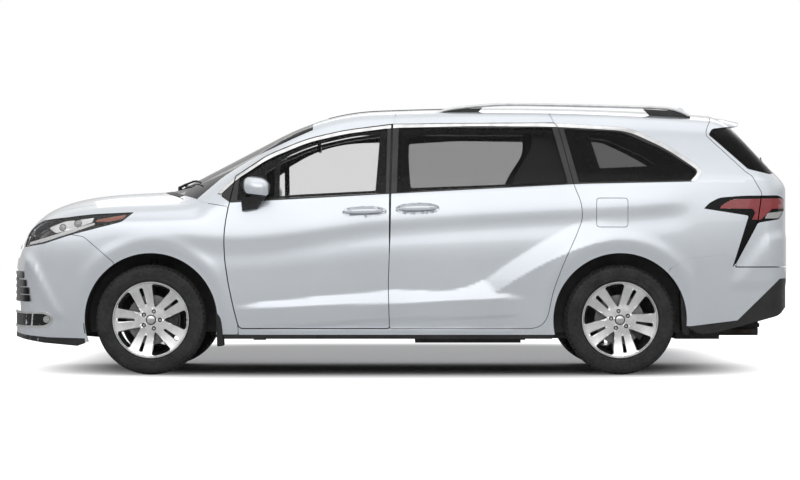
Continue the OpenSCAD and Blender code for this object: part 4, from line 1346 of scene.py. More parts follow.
def tyre_piece():
    half = [
        (249.5, 96), (252, 104), (258, 108), (266, 111.5), (270, 114), (274, 113), (278, 113.2),
        (286, 115.6), (287, 116.9), (289, 116.9), (290, 116.0), (300, 117.0), (312, 117.3), (320, 116.0),
        (322, 116.6), (324, 115.2), (330, 113), (337, 109.2), (340, 108.6), (346, 104), (351, 98),
        (354, 92), (356, 86), (357.4, 78), (358.2, 69), (358.4, 67), (351.5, 65.6), (351.5, 59.4),
        (358.6, 58), (359.2, 45), (359.6, 28), (359.6, 26), (352, 24.6), (352, 18.4), (360, 17)
    ]
    profile = half + [(359.9, 0)] + [(r, -w) for r, w in half[::-1]]
    p = np.array(profile, float)
    pitches, per = 62, 6
    n = pitches * per
    a = 2 * math.pi * np.arange(n) / n
    r = np.repeat(p[:, :1], n, 1)
    w = np.repeat(p[:, 1:], n, 1)
    column = np.arange(n) % per
    shoulder = (np.abs(p[:, 1]) > 67) & (p[:, 0] > 345)
    middle = (np.abs(p[:, 1]) < 57) & (np.abs(p[:, 1]) > 26) & (p[:, 0] > 355)
    r[np.ix_(shoulder, column < 2)] -= 6.5
    r[np.ix_(middle, (column == 3) | (column == 4))] -= 5.0
    ribs = (p[:, 0] > 323) & (p[:, 0] < 341)
    w[np.ix_(ribs, column % 2 == 0)] += 0.9 * np.sign(p[ribs, 1])[:, None]
    points = np.stack([r * np.cos(a), -(TYRE_Y + w), r * np.sin(a)], -1).reshape(-1, 3)
    inner = [(262, -108), (300, -100), (336, -84), (340, 0), (336, 84), (300, 100), (262, 108)]
    q = np.array(inner, float)
    lining = np.stack(
        [q[:, :1] * np.cos(a), np.repeat(-(TYRE_Y + q[:, 1:]), n, 1), q[:, :1] * np.sin(a)], -1
    ).reshape(-1, 3)
    return clothe(
        made("tyre", np.concatenate([points, lining]), grid_faces(len(p) + len(q), n, True), 24), TYRE
    )


def brake_disc():
    plate = lathe(
        "brake_plate",
        [
            (62, 876), (78, 878), (84, 886), (160, 886), (162, 884), (162, 878), (158, 877), (158, 871),
            (162, 870), (162, 864), (160, 862), (92, 862), (86, 868), (62, 868)
        ],
        72
    )
    return clothe(plate, STEEL)


def caliper():
    """Floating caliper on the trailing side of the disc."""
    a = np.radians(np.linspace(-26, 26, 9))
    outline = np.concatenate(
        [
            np.stack([178 * np.cos(a), 178 * np.sin(a)], 1),
            np.stack([108 * np.cos(a[::-1]), 108 * np.sin(a[::-1])], 1)
        ]
    )
    outer, inner = prism(outline, -908, -889), prism(outline, -859, -818)
    bridge = prism(
        np.concatenate(
            [
                np.stack([186 * np.cos(a), 186 * np.sin(a)], 1),
                np.stack([166 * np.cos(a[::-1]), 166 * np.sin(a[::-1])], 1)
            ]
        ),
        -904, -826
    )
    parts = []
    for part in (outer, inner, bridge):
        CUTTERS.remove(part)
        parts.append(softened(clothe(part, IRON), 5, 2))
    return joined("caliper", parts)


rim, tyre, plate, grip = rim_piece(), tyre_piece(), brake_disc(), caliper()
for body, x, right, turn in (
    ("left_front_wheel", FRONT_X, False, 0), ("right_front_wheel", FRONT_X, True, 0),
    ("left_rear_wheel", REAR_X, False, -27), ("right_rear_wheel", REAR_X, True, -27)
):
    end, flank = ("front", "rear")[x > 0], ("left", "right")[right]
    spot = (x, 0, HUB_Z)
    fit(moved(rim, f"alloy_rim_{end}_{flank}", spot, turn, right), body, "alloy", f"rim_{end}_{flank}")
    fit(moved(tyre, f"road_tyre_{end}_{flank}", spot, turn, right), body, "tyre", f"tyre_{end}_{flank}")
    fit(moved(plate, f"brake_disc_{end}_{flank}", spot, 0, right), body, "steel")
    carrier = f"{flank}_knuckle" if end == "front" else "car_body"
    fit(moved(grip, f"brake_caliper_{end}_{flank}", spot, 20, right), carrier, "cast")
for source in (rim, tyre, plate, grip):
    bpy.data.objects.remove(source)


# -------- lamps
lamp_mask = prism(offset(bonnet, 10), *BONNET_ZONE)
lens_layer = layer("lens_layer", -0.5, -5)
lamp_floor = layer("lamp_floor", -62, -70, COARSE)
lamp_mid = layer("lamp_mid", -14, -44, COARSE)
thin_mid = layer("thin_mid", -8, -14, COARSE)
lamp_cut = [("-", lamp_mask), ("-", upper_grille)]
pair(
    "headlamp_lens", lens_layer, [("&", side(headlamp, -1))] + lamp_cut, OWN, "headlamp_lens",
    (CLEAR_LENS,), (("headlamps",), ()), (-0.5, -5.0)
)
bezel_steps = [("&", side(headlamp, -1)), ("-", side(headlamp, -11))] + lamp_cut
sheet("headlamp_bezel", (-5.5, -12.0), bezel_steps, "dark_trim", PIANO)
pair(
    "headlamp_housing", lamp_floor, [("&", side(headlamp, -2))] + lamp_cut, OWN, "dark_trim", (PIANO,),
    levels=(-62.0, -70.0)
)
marker = rounded(
    [
        (-1990, 1000, 6), (-1978, 1014, 10), (-1880, 1032, 30), (-1786, 1046, 4), (-1806, 1020, 8),
        (-1900, 1000, 20)
    ]
)
pair(
    "headlamp_marker", thin_mid, [("&", side(marker)), ("-", lamp_mask)], OWN, "headlamp_lens", (AMBER,),
    levels=(-8.0, -14.0)
)
running = rounded(
    [
        (-2440, 846, 4), (-2330, 866, 20), (-2160, 922, 30), (-1990, 982, 8), (-1996, 994, 8),
        (-2170, 944, 30), (-2330, 892, 30), (-2436, 866, 4)
    ]
)
pair(
    "running_lamp", thin_mid, [("&", side(running)), ("-", lamp_mask), ("-", upper_grille)], OWN,
    "headlamp_lens", (RUNNING,), levels=(-8.0, -14.0)
)
reflector_shape = rounded(
    [
        (-2080, 1022, 10), (-2000, 1030, 14), (-2010, 996, 10), (-2130, 955, 20), (-2250, 925, 14),
        (-2300, 960, 20), (-2200, 1000, 20)
    ]
)
pair(
    "headlamp_reflector", lamp_mid,
    [
        ("&", side(reflector_shape)), ("-", side(disc(-2105, 988, 26, 40))),
        ("-", side(disc(-2205, 962, 24, 40))), ("-", lamp_mask)
    ],
    OWN, "rail_metal", (CHROME,), levels=(-14.0, -44.0)
)
for k, (x, z, r) in enumerate(((-2105, 988, 24), (-2205, 962, 22))):
    y = skin_y(x, z)
    way = outward(np.array([[x, -y, z]]))[0]
    eye = lathe(
        "eye", [(0, 6), (r * 0.5, 4), (r * 0.82, -1), (r * 0.9, -8), (r, -8), (r, -40), (0, -40)], 32, False
    )
    turn = Vector((0, -1, 0)).rotation_difference(
        Vector((way[0] * 0.7, way[1], way[2] * 0.3)).normalized()
    ).to_matrix().to_4x4()
    eye.data.transform(Matrix.Translation(Vector((x, -y + 24, z)) * MM) @ turn)
    both(clothe(eye, PROJECTOR), f"headlamp_projector_{k + 1}", OWN, "headlamp_lens")

tail_cut = side(tailgate, 3.5)
gate_cut = side(tailgate, -3.5)
tail_base = layer("tail_base", -3, -34)
red_layer = layer("red_layer", 0, -12)
RED_BAR = rounded(
    [
        (2084, 1086, 4), (2100, 1112, 20), (2168, 1148, 30), (2530, 1156, 4), (2530, 1086, 4),
        (2430, 1084, 10), (2352, 1010, 12), (2294, 1014, 6), (2318, 1062, 12), (2300, 1084, 8)
    ]
)
CLEAR_PART = rounded([(2378, 1020, 8), (2398, 1058, 12), (2520, 1072, 6), (2520, 1050, 6), (2474, 1022, 14)])
red_cutter, clear_cutter = side(RED_BAR), side(CLEAR_PART)
for label, zone, body in (("body", ("-", tail_cut), "car_body"), ("gate", ("&", gate_cut), "rear_gate")):
    hides = {"body": (("tail_lamps",), ()), "gate": (("tailgate_lamps",), ())}[label]
    owner = (body, body)
    pair(
        f"tail_lamp_{label}_case", tail_base,
        [("&", side(tail_lamp, -1)), zone, ("-", red_cutter), ("-", clear_cutter)], owner, "gloss_trim",
        (PIANO,), hides, (-3.0, -34.0)
    )
    pair(
        f"tail_lamp_{label}_red", red_layer,
        [("&", side(tail_lamp, -1)), zone, ("&", side(offset(RED_BAR, -1)))], owner, "tail_lens",
        (RED_LENS,), levels=(0.0, -12.0)
    )
pair(
    "reversing_lamp", red_layer,
    [("&", side(tail_lamp, -1)), ("&", gate_cut), ("&", side(offset(CLEAR_PART, -1)))],
    ("rear_gate", "rear_gate"), "headlamp_lens", (REVERSE,), levels=(0.0, -12.0)
)

# -------- grille, fog lamps and chin spoiler
grille_back = layer("grille_back", -26, -32, COARSE)
panel(
    "grille_mesh", grille_back, [("&", prism(rounded(GRILLE_LOWER), *NOSE))], "car_body", "dark_trim",
    (GRILLE,), ("grille",), (-26.0, -32.0)
)
panel(
    "grille_mesh_upper", grille_back,
    [("&", upper_grille), ("-", prism(offset(bonnet, 10), 894, 1400, "plan"))], "car_body", "dark_trim",
    (GRILLE,), (), (-26.0, -32.0)
)
BARS, BAR_Z, BAR_PITCH, BAR_T = 5, 478, 44, 20
bar_layer = layer("bar_layer", 5, -26)
bars = []
for k in range(BARS):
    z = BAR_Z + BAR_PITCH * k
    bars.append(prism(rect(-710, 710, z, z + BAR_T), *NOSE))
bar_set = bars[0]
for b in bars[1:]:
    bar_set = kept("bar_set", bar_set, ("+", b))
lower_in = prism(offset(rounded(GRILLE_LOWER), -2), *NOSE)
panel(
    "grille_bars", bar_layer, [("&", lower_in), ("&", bar_set)], "car_body", "gloss_trim", (PIANO,), (),
    (5.0, -26.0)
)
upper_bar = prism(rect(-600, 600, 822, 846), *NOSE)
panel(
    "grille_upper_bar", bar_layer, [("&", upper_grille), ("&", upper_bar)], "car_body", "gloss_trim",
    (CHROME,), (), (5.0, -26.0)
)
wing_layer = layer("wing_layer", 8, -4)
for k, (low, high, x) in enumerate(
    ((478, 521, -2419), (527, 571, -2425), (577, 621, -2449), (629, 676, -2473))
):
    shape = rounded([(-2700, low, 0), (x - 4, low, 5), (x - 9, high, 5), (-2700, high, 0)])
    pair(
        f"grille_wing_{k + 1}", wing_layer, [("&", side(shape, 0, 520))], OWN, "gloss_trim", (PIANO,),
        levels=(8.0, -4.0)
    )
cover_shape = [(-120, 1120), (-104, 1640), (0, 1650), (0, 1130)]
sheet("pillar_cover", (-24.0, -34.0), [("&", side(cover_shape))], "dark_trim", TRIM)
inner_shape = [
    (860, 1640, 0), (872, 1490, 60), (800, 1380, 60), (746, 1290, 60), (724, 1180, 0), (1130, 1180, 0),
    (1130, 1640, 0)
]
sheet("inner_pillar_trim", (-62.0, -76.0), [("&", side(rounded(inner_shape)))], "dark_trim", TRIM)
patch_shape = np.array([(-1500, 1050), (-1500, 1150), (-1255, 1150), (-1255, 1050)], float)
filler_steps = [("&", side(patch_shape)), ("-", bonnet_hole), ("-", across(screen, 2))]
sheet("cowl_filler", (-1.2, -14.0), filler_steps, "body_paint", PAINT, OWN, MEDIUM)
fog = rounded([(-2700, 306, 0), (-2700, 414, 0), (-2310, 414, 44), (-2258, 366, 40), (-2306, 306, 46)])
fog_layer = layer("fog_layer", 6, -4)
pair(
    "fog_trim", fog_layer, [("&", side(fog)), ("-", side(offset(fog, -15)))], OWN, "rail_metal", (CHROME,),
    levels=(6.0, -4.0)
)
sheet("fog_pocket", (1.6, -3.0), [("&", side(fog, -15))], "dark_trim", GRILLE, OWN, MEDIUM)
sheet(
    "fog_lens", (4.0, -1.0), [("&", side(disc(-2312, 362, 22, 40)))], "headlamp_lens", PROJECTOR, OWN,
    MEDIUM
)
panel(
    "chin_spoiler", layer("chin_layer", 2, -30),
    [
        (
            "&",
            across(
                [
                    (-2700, 232), (-2700, 272), (-2520, 266), (-2300, 244), (-2060, 238), (-2060, 206),
                    (-2110, 188), (-2330, 208), (-2520, 240)
                ]
            )
        )
    ],
    "car_body", "dark_trim", (TRIM,), (), (2.0, -30.0)
)

# -------- mirrors and handles
def mirror_house():
    y0 = -skin_y(-925, 1222)
    sections = []
    for t in np.linspace(0, 1, 13):
        y = y0 - 34 - t * 180
        fade = math.sqrt(
            max(1 - max((t - 0.72) / 0.29, 0) ** 2, 0.02)
        ) * math.sqrt(max(1 - max((0.16 - t) / 0.17, 0) ** 2, 0.02))
        ring = oval(40, 92 * fade * (1 - 0.12 * t), 70 * fade * (1 - 0.16 * t), 2.5)
        ring[:, 0] *= np.where(ring[:, 0] > 0, 0.9, 1.05)
        sections.append(
            np.stack(
                [-932 + 14 * t + ring[:, 0], np.full(40, y), 1228 - 10 * t + ring[:, 1] - 0.1 * ring[:, 0]],
                1
            )
        )
    return loft("mirror_house", sections, 40)


house = mirror_house()
CUTTERS.append(house)
cap_box = prism([(-1100, 1196), (-1100, 1400), (-852, 1400), (-852, 1166)], -1300, -800)
low_box = prism([(-1100, 1193), (-1100, 1100), (-854, 1100), (-854, 1163)], -1300, -800)
rear_box = prism([(-851, 1100), (-851, 1400), (-800, 1400), (-800, 1100)], -1300, -800)
both(clothe(softened(carved("cap", house, ("&", cap_box)), 1.5), PAINT), "mirror_cap", DOORS, "body_paint")
both(clothe(softened(carved("low", house, ("&", low_box)), 1.5), TRIM), "mirror_base", DOORS, "dark_trim")
both(clothe(finished(carved("rear", house, ("&", rear_box))), CHROME), "mirror_glass", DOORS, "gloss_trim")
foot_y = -skin_y(-940, 1070)
arm = []
for t in np.linspace(0, 1, 9):
    ring = oval(24, 88 - 38 * t, 20 + 6 * t, 2.6)
    centre = np.array([-944 - 34 * t, foot_y - 96 + 92 * t - 16 * math.sin(math.pi * t), 1166 - 88 * t])
    arm.append(
        np.stack(
            [
                centre[0] + ring[:, 0], centre[1] + ring[:, 1] * 0.9,
                np.full(24, centre[2]) + 0.15 * ring[:, 0]
            ],
            1
        )
    )
both(clothe(loft("arm", arm, 50), TRIM), "mirror_arm", DOORS, "dark_trim")


def handle(name, x, z, length, bodies):
    """Pull handle: a bowed bar on two feet."""
    y = -skin_y(x, z)
    rows = []
    for t in np.linspace(-1, 1, 33):
        end = math.sqrt(max(1 - abs(t) ** 6, 0.03))
        lift = 34 - 20 * max(abs(t) - 0.62, 0) / 0.38
        ring = oval(20, 8 * end, (15 - 3 * abs(t)) * end, 3)
        rows.append(
            np.stack(
                [np.full(20, x + t * length / 2), y - lift + 8 + ring[:, 0], z + 3 * t + ring[:, 1]], 1
            )
        )
    bar = loft("bar", rows, 45)
    parts = [bar]
    for sign in (-1, 1):
        foot = [
            np.stack(
                [
                    x + sign * (length / 2 - 22) + oval(16, 17 - 3 * t, 1)[:, 0],
                    np.full(16, y + 6 - 24 * t), z + 3 * sign + oval(16, 1, 11 - 2 * t)[:, 1]
                ],
                1
            )
            for t in (0, 1)
        ]
        parts.append(loft("foot", foot, 45))
    for part in parts:
        clothe(part, PAINT)
    both(joined(name, parts, 40), name, bodies, "body_paint")


handle("front_handle", -235, 1068, 250, DOORS)
handle("sliding_handle", 115, 1088, 250, OWN)

keyhole = lathe("keyhole", [(0, 3), (6, 3), (7, 2), (7, -10), (0, -10)], 24, False)
keyhole.data.transform(Matrix.Translation(Vector((52, -skin_y(52, 1094) - 27, 1094)) * MM))
both(clothe(keyhole, PIANO), "key_cover", OWN, "dark_trim")

# -------- roof rails, fin, wipers, spoiler, sills, flaps
rail_path = curve(
    [
        (232, -618, 1716), (330, -618, 1747), (540, -618, 1770), (726, -618, 1779), (1100, -618, 1774),
        (1640, -618, 1760), (1780, -618, 1751), (1860, -618, 1731), (1912, -618, 1704)
    ],
    60
)
both(
    clothe(tube("rail", rail_path, (15, 11), 2.6, 20), RAIL), "roof_rail", OWN, "rail_metal",
    (("roof_rails",), ())
)
for label, shape in (
    ("front", [(216, 1700, 0), (216, 1718, 4), (360, 1745, 20), (545, 1756, 4), (480, 1690, 10)]),
    ("rear", [(1612, 1748, 4), (1800, 1738, 20), (1922, 1700, 4), (1922, 1660, 4), (1680, 1680, 10)])
):
    foot = prism(rounded(shape), -632, -604)
    CUTTERS.remove(foot)
    both(softened(clothe(foot, TRIM), 4, 3), f"rail_foot_{label}", OWN, "dark_trim")
fin = []
for t in np.linspace(0, 1, 12):
    ring = oval(28, 1, 1, 2.2)
    long, thick = 92 * (1 - t) ** 0.75 + 5, 26 * (1 - t) ** 0.9 + 3
    fin.append(
        np.stack([1862 + 46 * t + long * ring[:, 0], thick * ring[:, 1], np.full(28, 1728 + 58 * t)], 1)
    )
fit(clothe(loft("aerial_fin", fin, 50), PAINT), "car_body", "body_paint")

spoiler_rows = []
for y in np.linspace(-606, 606, 41):
    edge = math.sqrt(max(1 - (abs(y) / 610) ** 8, 0.01))
    pull = 46 * (abs(y) / 606) ** 2.2
    top = rounded(
        [
            (2080, 1694, 0), (2140, 1706, 20), (2284 - pull, 1676, 3), (2282 - pull, 1662, 4),
            (2180, 1640, 20), (2084, 1642, 0)
        ],
        4
    )
    drop = 52 * (abs(y) / 700) ** 2.5
    centre = top.mean(0)
    spoiler_rows.append(
        np.stack(
            [
                centre[0] + (top[:, 0] - centre[0]) * (0.75 + 0.25 * edge), np.full(len(top), y),
                centre[1] + (top[:, 1] - centre[1]) * edge - drop
            ],
            1
        )
    )
fit(clothe(loft("gate_spoiler", spoiler_rows, 38), PAINT), "rear_gate", "body_paint")
brake_bar = tube(
    "high_brake_lamp", [(2262, y, 1656 - 52 * (abs(y) / 700) ** 2.5) for y in np.linspace(-170, 170, 9)],
    (5, 5), 3, 12, (0, 0, 1)
)
fit(clothe(brake_bar, RED_LENS), "rear_gate", "tail_lens")


def on_skin(x, y, lift):
    """A point lift above the skin, found from above."""
    hit = skin_hits(np.array([[x, y, 700.0]]), np.array([[0.0, 0, 1.0]]), lift, 26, 1400)
    return hit[0]


def wiper(name, points, body, hides=(), lift=11):
    path = np.array([on_skin(x, y, lift) for x, y in curve(points, 22)])
    blade = tube("blade", path, (4, 7), 3, 12)
    arm_path = np.array(
        [
            on_skin(x, y, lift + 3 + 2 * math.sin(math.pi * k / 13))
            for k, (x, y) in enumerate(
                curve(
                    [
                        points[0],
                        ((points[0][0] + points[-1][0]) / 2 - 6, (points[0][1] + points[-1][1]) / 2),
                        points[1]
                    ],
                    14
                )
            )
        ]
    )
    arm_piece = tube("arm", arm_path, [(9 - 0.35 * k, 5) for k in range(14)], 3, 12)
    knob = lathe("knob", [(0, 8), (9, 7), (13, 2), (14, -6), (14, -26), (0, -26)], 24, False)
    knob.data.transform(
        Matrix.Translation(Vector(arm_path[0]) * MM) @ Matrix.Rotation(math.radians(-90), 4, "X")
    )
    for part in (blade, arm_piece, knob):
        clothe(part, TRIM)
    fit(joined(name, [blade, arm_piece, knob], 40), body, "dark_trim", *hides)


wiper("front_wiper_1", [(-1498, -50), (-1392, -300), (-1322, -590)], "car_body", ("wipers",))
wiper("front_wiper_2", [(-1462, 600), (-1440, 350), (-1470, 80)], "car_body")
wiper("rear_wiper_arm", [(2478, 0), (2462, -60), (2416, -400)], "rear_gate", ("rear_wiper",))

pair(
    "sill_trim", wide_base, [("&", side([(-1150, 236), (-1150, 262), (992, 262), (992, 236)], 0, 860))],
    OWN, "dark_trim", (TRIM, TRIM), (("sill_trims",), ()), SHELL_LEVELS
)
for label, shape, ys in (
    (
        "front",
        [
            (-1204, 487, 6), (-1182, 480, 10), (-1160, 320, 40), (-1151, 190, 8), (-1192, 187, 8),
            (-1196, 300, 30)
        ],
        (-968, -790)
    ),
    (
        "rear",
        [
            (1830, 560, 8), (1852, 505, 10), (1880, 498, 8), (1891, 340, 30), (1885, 262, 8),
            (1868, 258, 8), (1843, 275, 20), (1838, 360, 30)
        ],
        (-934, -770)
    )
):
    guard = prism(rounded(shape), *ys)
    CUTTERS.remove(guard)
    both(softened(clothe(guard, SEAL), 3, 2), f"mud_guard_{label}", OWN, "dark_trim", (("mud_flaps",), ()))
plate_z = (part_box("plate_holder")[0][2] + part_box("plate_holder")[1][2]) / 2 / MM
plate_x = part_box("plate_holder")[1][0] / MM
blank = prism(
    rounded(
        [
            (-250, plate_z - 56, 10), (250, plate_z - 56, 10), (250, plate_z + 56, 10),
            (-250, plate_z + 56, 10)
        ]
    ),
    plate_x - 1, plate_x + 1.2, "end"
)
CUTTERS.remove(blank)
fit(softened(clothe(blank, PLATE), 1.0, 2), "rear_gate", "alloy")
blank.name = "blank_plate"
sun_shape = rounded([(-480, -400, 60), (360, -400, 60), (360, 400, 60), (-480, 400, 60)])
panel(
    "sunroof_glass", layer("sunroof_layer", 2.5, -3), [("&", prism(sun_shape, 1500, 1900, "plan"))],
    "car_body", "gloss_trim", (PIANO,), (), (2.5, -3.0)
)


# -------- seats
def inflated(obj, swell, voxel=11.0, pressure=4.0):
    """Fills a closed form like a cushion with a short cloth simulation, and caps how far it may swell."""
    m = obj.modifiers.new("remesh", "REMESH")
    m.mode, m.voxel_size = "VOXEL", voxel * MM
    mesh = evaluated(obj)
    obj.modifiers.clear()
    obj.data = mesh
    before = read(mesh.vertices, "co", 3)
    m = obj.modifiers.new("cloth", "CLOTH")
    m.settings.use_pressure = True
    m.settings.uniform_pressure_force = pressure
    m.settings.effector_weights.gravity = 0
    m.settings.quality = 4
    m.point_cache.frame_start, m.point_cache.frame_end = 1, 14
    for frame_number in range(1, 15):
        bpy.context.scene.frame_set(frame_number)
    puffed = evaluated(obj)
    after = read(puffed.vertices, "co", 3)
    obj.modifiers.clear()
    bpy.data.meshes.remove(puffed)
    bpy.context.scene.frame_set(1)
    move = after - before
    far = np.linalg.norm(move, axis=1, keepdims=True)
    move *= np.minimum(1, swell * MM / np.maximum(far, 1e-9))
    mesh.vertices.foreach_set("co", (before + move).ravel())
    mesh.update()
    return finished(obj, 60)


def sewn(obj, lines, deep=5.0, wide=6.0):
    """Draws the surface in along seams; each line is (axis, place, direction that the seam faces)."""
    mesh = obj.data
    co, normal = read(mesh.vertices, "co", 3), read(mesh.vertices, "normal", 3)
    for axis, place, facing in lines:
        front = ramp(normal @ np.asarray(facing, float), 0.2, 0.7)
        push = deep * MM * np.exp(-(((co[:, axis] / MM - place) / wide) ** 2)) * front
        co -= normal * push[:, None]
    mesh.vertices.foreach_set("co", co.ravel())
    mesh.update()
    return finished(obj, 60)


def tinted(obj, near, far, split):
    """Two upholsteries on one cushion: the middle panel in near, the sides in far."""
    clothe(obj, near, far)
    for face in obj.data.polygons:
        face.material_index = int(abs(face.center.y) / MM > split)
    return obj


def seat_parts(width, depth):
    """Cushion, back, headrest, base, posts and back shell of one seat at the origin."""
    half = width / 2
    rows = []
    for t in np.linspace(0, 1, 15):
        x = -depth - 14 + t * (depth + 2)
        end = (1 - abs(2 * t - 1) ** 7) ** 0.5 * 0.34 + 0.66
        ring = oval(44, (half - 8) * (0.9 + 0.1 * end), 56 * end, 3.4)
        side_lift = 15 * (np.abs(ring[:, 0]) / half) ** 3 * (ring[:, 1] > 0)
        rows.append(
            np.stack(
                [np.full(44, x), ring[:, 0], 576 + 22 * (1 - t) + ring[:, 1] + side_lift - 12 * (1 - end)],
                1
            )
        )
    cushion = inflated(loft("cushion", rows), 14)
    seams = (
        [(1, s * half * 0.56, (0, 0, 1)) for s in (-1, 1)]
        + [(0, -depth * k, (0, 0, 1)) for k in (0.3, 0.55, 0.8)]
    )
    cushion = tinted(sewn(cushion, seams), CLOTH, BOLSTER, half * 0.56)
    rows = []
    for t in np.linspace(0, 1, 17):
        z = 596 + 588 * t
        end = (1 - abs(2 * t - 1) ** 7) ** 0.5 * 0.36 + 0.64
        ring = oval(44, 52 * end, (half - 10) * (1 - 0.16 * t * t) * (0.9 + 0.1 * end), 3.2)
        wing = -24 * (np.abs(ring[:, 1]) / half) ** 3 * (ring[:, 0] < 0)
        lean = 4 + 108 * t
        rows.append(np.stack([lean + ring[:, 0] + wing, ring[:, 1], np.full(44, z)], 1))
    back = inflated(loft("backrest", rows), 12)
    seams = (
        [(1, s * half * 0.54, (-1, 0, 0)) for s in (-1, 1)] + [(2, z, (-1, 0, 0)) for z in (760, 900, 1040)]
    )
    back = tinted(sewn(back, seams), CLOTH, BOLSTER, half * 0.54)
    rows = []
    for t in np.linspace(0, 1, 13):
        end = (1 - abs(2 * t - 1) ** 4) ** 0.5 * 0.5 + 0.5
        ring = oval(36, 36 * end, 116 * end, 2.8)
        rows.append(np.stack([126 + 12 * t + ring[:, 0], ring[:, 1], np.full(36, 1236 + 164 * t)], 1))
    rest = sewn(inflated(loft("headrest", rows), 8, 9.0), [(1, 0, (0, 0, 1)), (2, 1320, (1, 0, 0))], 3, 5)
    clothe(rest, CLOTH)
    plinth = [block("base", (-depth + 66, -6), (-half + 66, half - 66), (424, 484), TRIM, 10, 3)]
    for s in (-1, 1):
        plinth.append(
            block(
                "rail", (-depth + 64, -4), (s * (half - 90) - 16, s * (half - 90) + 16), (332, 366), STEEL,
                3
            )
        )
        plinth.append(
            block(
                "riser", (-depth + 90, -depth + 150), (s * (half - 90) - 12, s * (half - 90) + 12),
                (362, 430), TRIM, 6
            )
        )
        plinth.append(
            block("riser", (-80, -20), (s * (half - 90) - 12, s * (half - 90) + 12), (362, 430), TRIM, 6)
        )
        plinth.append(clothe(tube("post", [(124, s * 62, 1150), (128, s * 62, 1250)], (6, 6), 2, 12), CHROME))
        plinth.append(
            clothe(
                tube(
                    "piping",
                    [
                        (-depth - 6 + k * (depth - 30) / 11, s * half * 0.56, 641 + 24 * (1 - k / 11))
                        for k in range(12)
                    ],
                    (2.4, 2.4), 2, 8
                ),
                BOLSTER
            )
        )
    shell_rows = []
    for t in np.linspace(0, 1, 9):
        ring = oval(32, 10, (half - 34) * (1 - 0.16 * t * t), 5)
        shell_rows.append(np.stack([62 + 104 * t + ring[:, 0], ring[:, 1], np.full(32, 640 + 520 * t)], 1))
    plinth.append(clothe(loft("shell", shell_rows), TRIM))
    for part in plinth:
        part.name = "seat_part"
    return cushion, back, rest, joined("seat_base", plinth, 40)


SEAT_X = {"front": (-170, 390), "middle": (760, 390), "rear": (1780, 320)}
for size, rows in (((520, 500), ("front", "middle")), ((600, 480), ("rear",))):
    parts = seat_parts(*size)
    for row in rows:
        x, y = SEAT_X[row]
        for hand, sign in (("left", -1), ("right", 1)):
            for part, kind, fill in zip(
                parts, ("cushion", "backrest", "headrest", "base"), (0.8, 0.7, 0.75, None)
            ):
                twin = moved(part, f"{row}_seat_{kind}_{hand}", (x, sign * y, 0))
                hides = (f"{row}_seats",) if (kind, hand) == ("cushion", "left") else ()
                fit(twin, "car_body", "seat_cloth" if fill else "dark_trim", *hides)
    for part in parts:
        bpy.data.objects.remove(part)

# -------- dashboard, wheel, engine cover
hood = [
    np.stack(
        [
            np.full(30, 0) - 800 + 96 * t - 14 * (1 - abs(2 * t - 1)),
            -370 + oval(30, 190, 46, 3)[:, 0] * (1 - 0.1 * t),
            1090 + oval(30, 190, 46, 3)[:, 1] * (0.9 + 0.1 * t)
        ],
        1
    )
    for t in np.linspace(0, 1, 6)
]
for name, obj, mat, slot in (
    ("instrument_hood", loft("hood", hood), TRIM, "dash"),
    (
        "centre_screen", block("screen", (-768, -756), (-150, 130), (1030, 1200), PIANO, 5, 3), PIANO,
        "gloss_trim"
    ),
    ("centre_console", block("console", (-800, -330), (-130, 130), (372, 700), TRIM, 24, 4), TRIM, "dash"),
    ("console_lid", block("lid", (-560, -340), (-120, 120), (696, 726), BOLSTER, 12, 4), BOLSTER, "dash"),
    (
        "gear_knob",
        lathe("knob", [(0, 118), (20, 112), (24, 92), (20, 64), (12, 40), (14, 0), (0, 0)], 24, False),
        PIANO, "gloss_trim"
    ),
    (
        "engine_cover", block("cover", (-2080, -1620), (-330, 330), (872, 900), TRIM, 12, 4), TRIM,
        "dark_trim"
    )
):
    if name == "gear_knob":
        obj.data.transform(
            Matrix.Translation(Vector((-680, 0, 690)) * MM) @ Matrix.Rotation(math.radians(-90), 4, "X")
        )
    fit(clothe(obj, mat), "car_body", slot)
    obj.name = name
for k, y in enumerate((-700, -560, -190, 190, 560, 700)):
    vent = []
    for j in range(5):
        vent.append(
            block("slat", (-752, -744), (y - 46, y + 46), (996 + 13 * j, 1001 + 13 * j), PIANO, 1.5, 1)
        )
    fit(joined(f"air_vent_{k + 1}", vent, 30), "car_body", "gloss_trim")
mirror = block("inner_mirror", (-560, -536), (-110, 110), (1478, 1540), PIANO, 9, 4)
fit(mirror, "car_body", "dark_trim")


def recolour(mat, *names):
    """A better material on CAD nodes whose shape stays."""
    for name in names:
        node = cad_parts[name]
        for slot in node.material_slots:
            slot.material = mat


recolour(SHEET, "floor_pan", "bulkhead")
recolour(LINING, "arch_liners")
recolour(DASH, "dashboard")
recolour(WHEEL_SKIN, "steering_wheel")
recolour(IRON, "engine_block", "subframe", "knuckle_left", "knuckle_right", "rear_axle")
recolour(EXHAUST, "exhaust")
recolour(TANK, "fuel_tank")


# -------- camera, lamps and backdrop
def aim(obj, target):
    way = Vector(target) - obj.location
    obj.rotation_euler = way.to_track_quat("-Z", "Y").to_euler()


scene = bpy.context.scene
scene.view_settings.view_transform = "Standard"
camera = linked("camera", bpy.data.cameras.new("camera"))
camera.data.lens = 138
camera.data.sensor_width = 36
camera.data.clip_end = 200
camera.location = (0.0, -20.95, 0.881)
camera.rotation_euler = (math.radians(90), 0, 0)
scene.camera = camera

floor_mesh = bpy.data.meshes.new("studio_floor")
floor_mesh.from_pydata([(-60, -60, 0), (60, -60, 0), (60, 60, 0), (-60, 60, 0)], [], [(0, 1, 2, 3)])
floor = linked("studio_floor", floor_mesh)


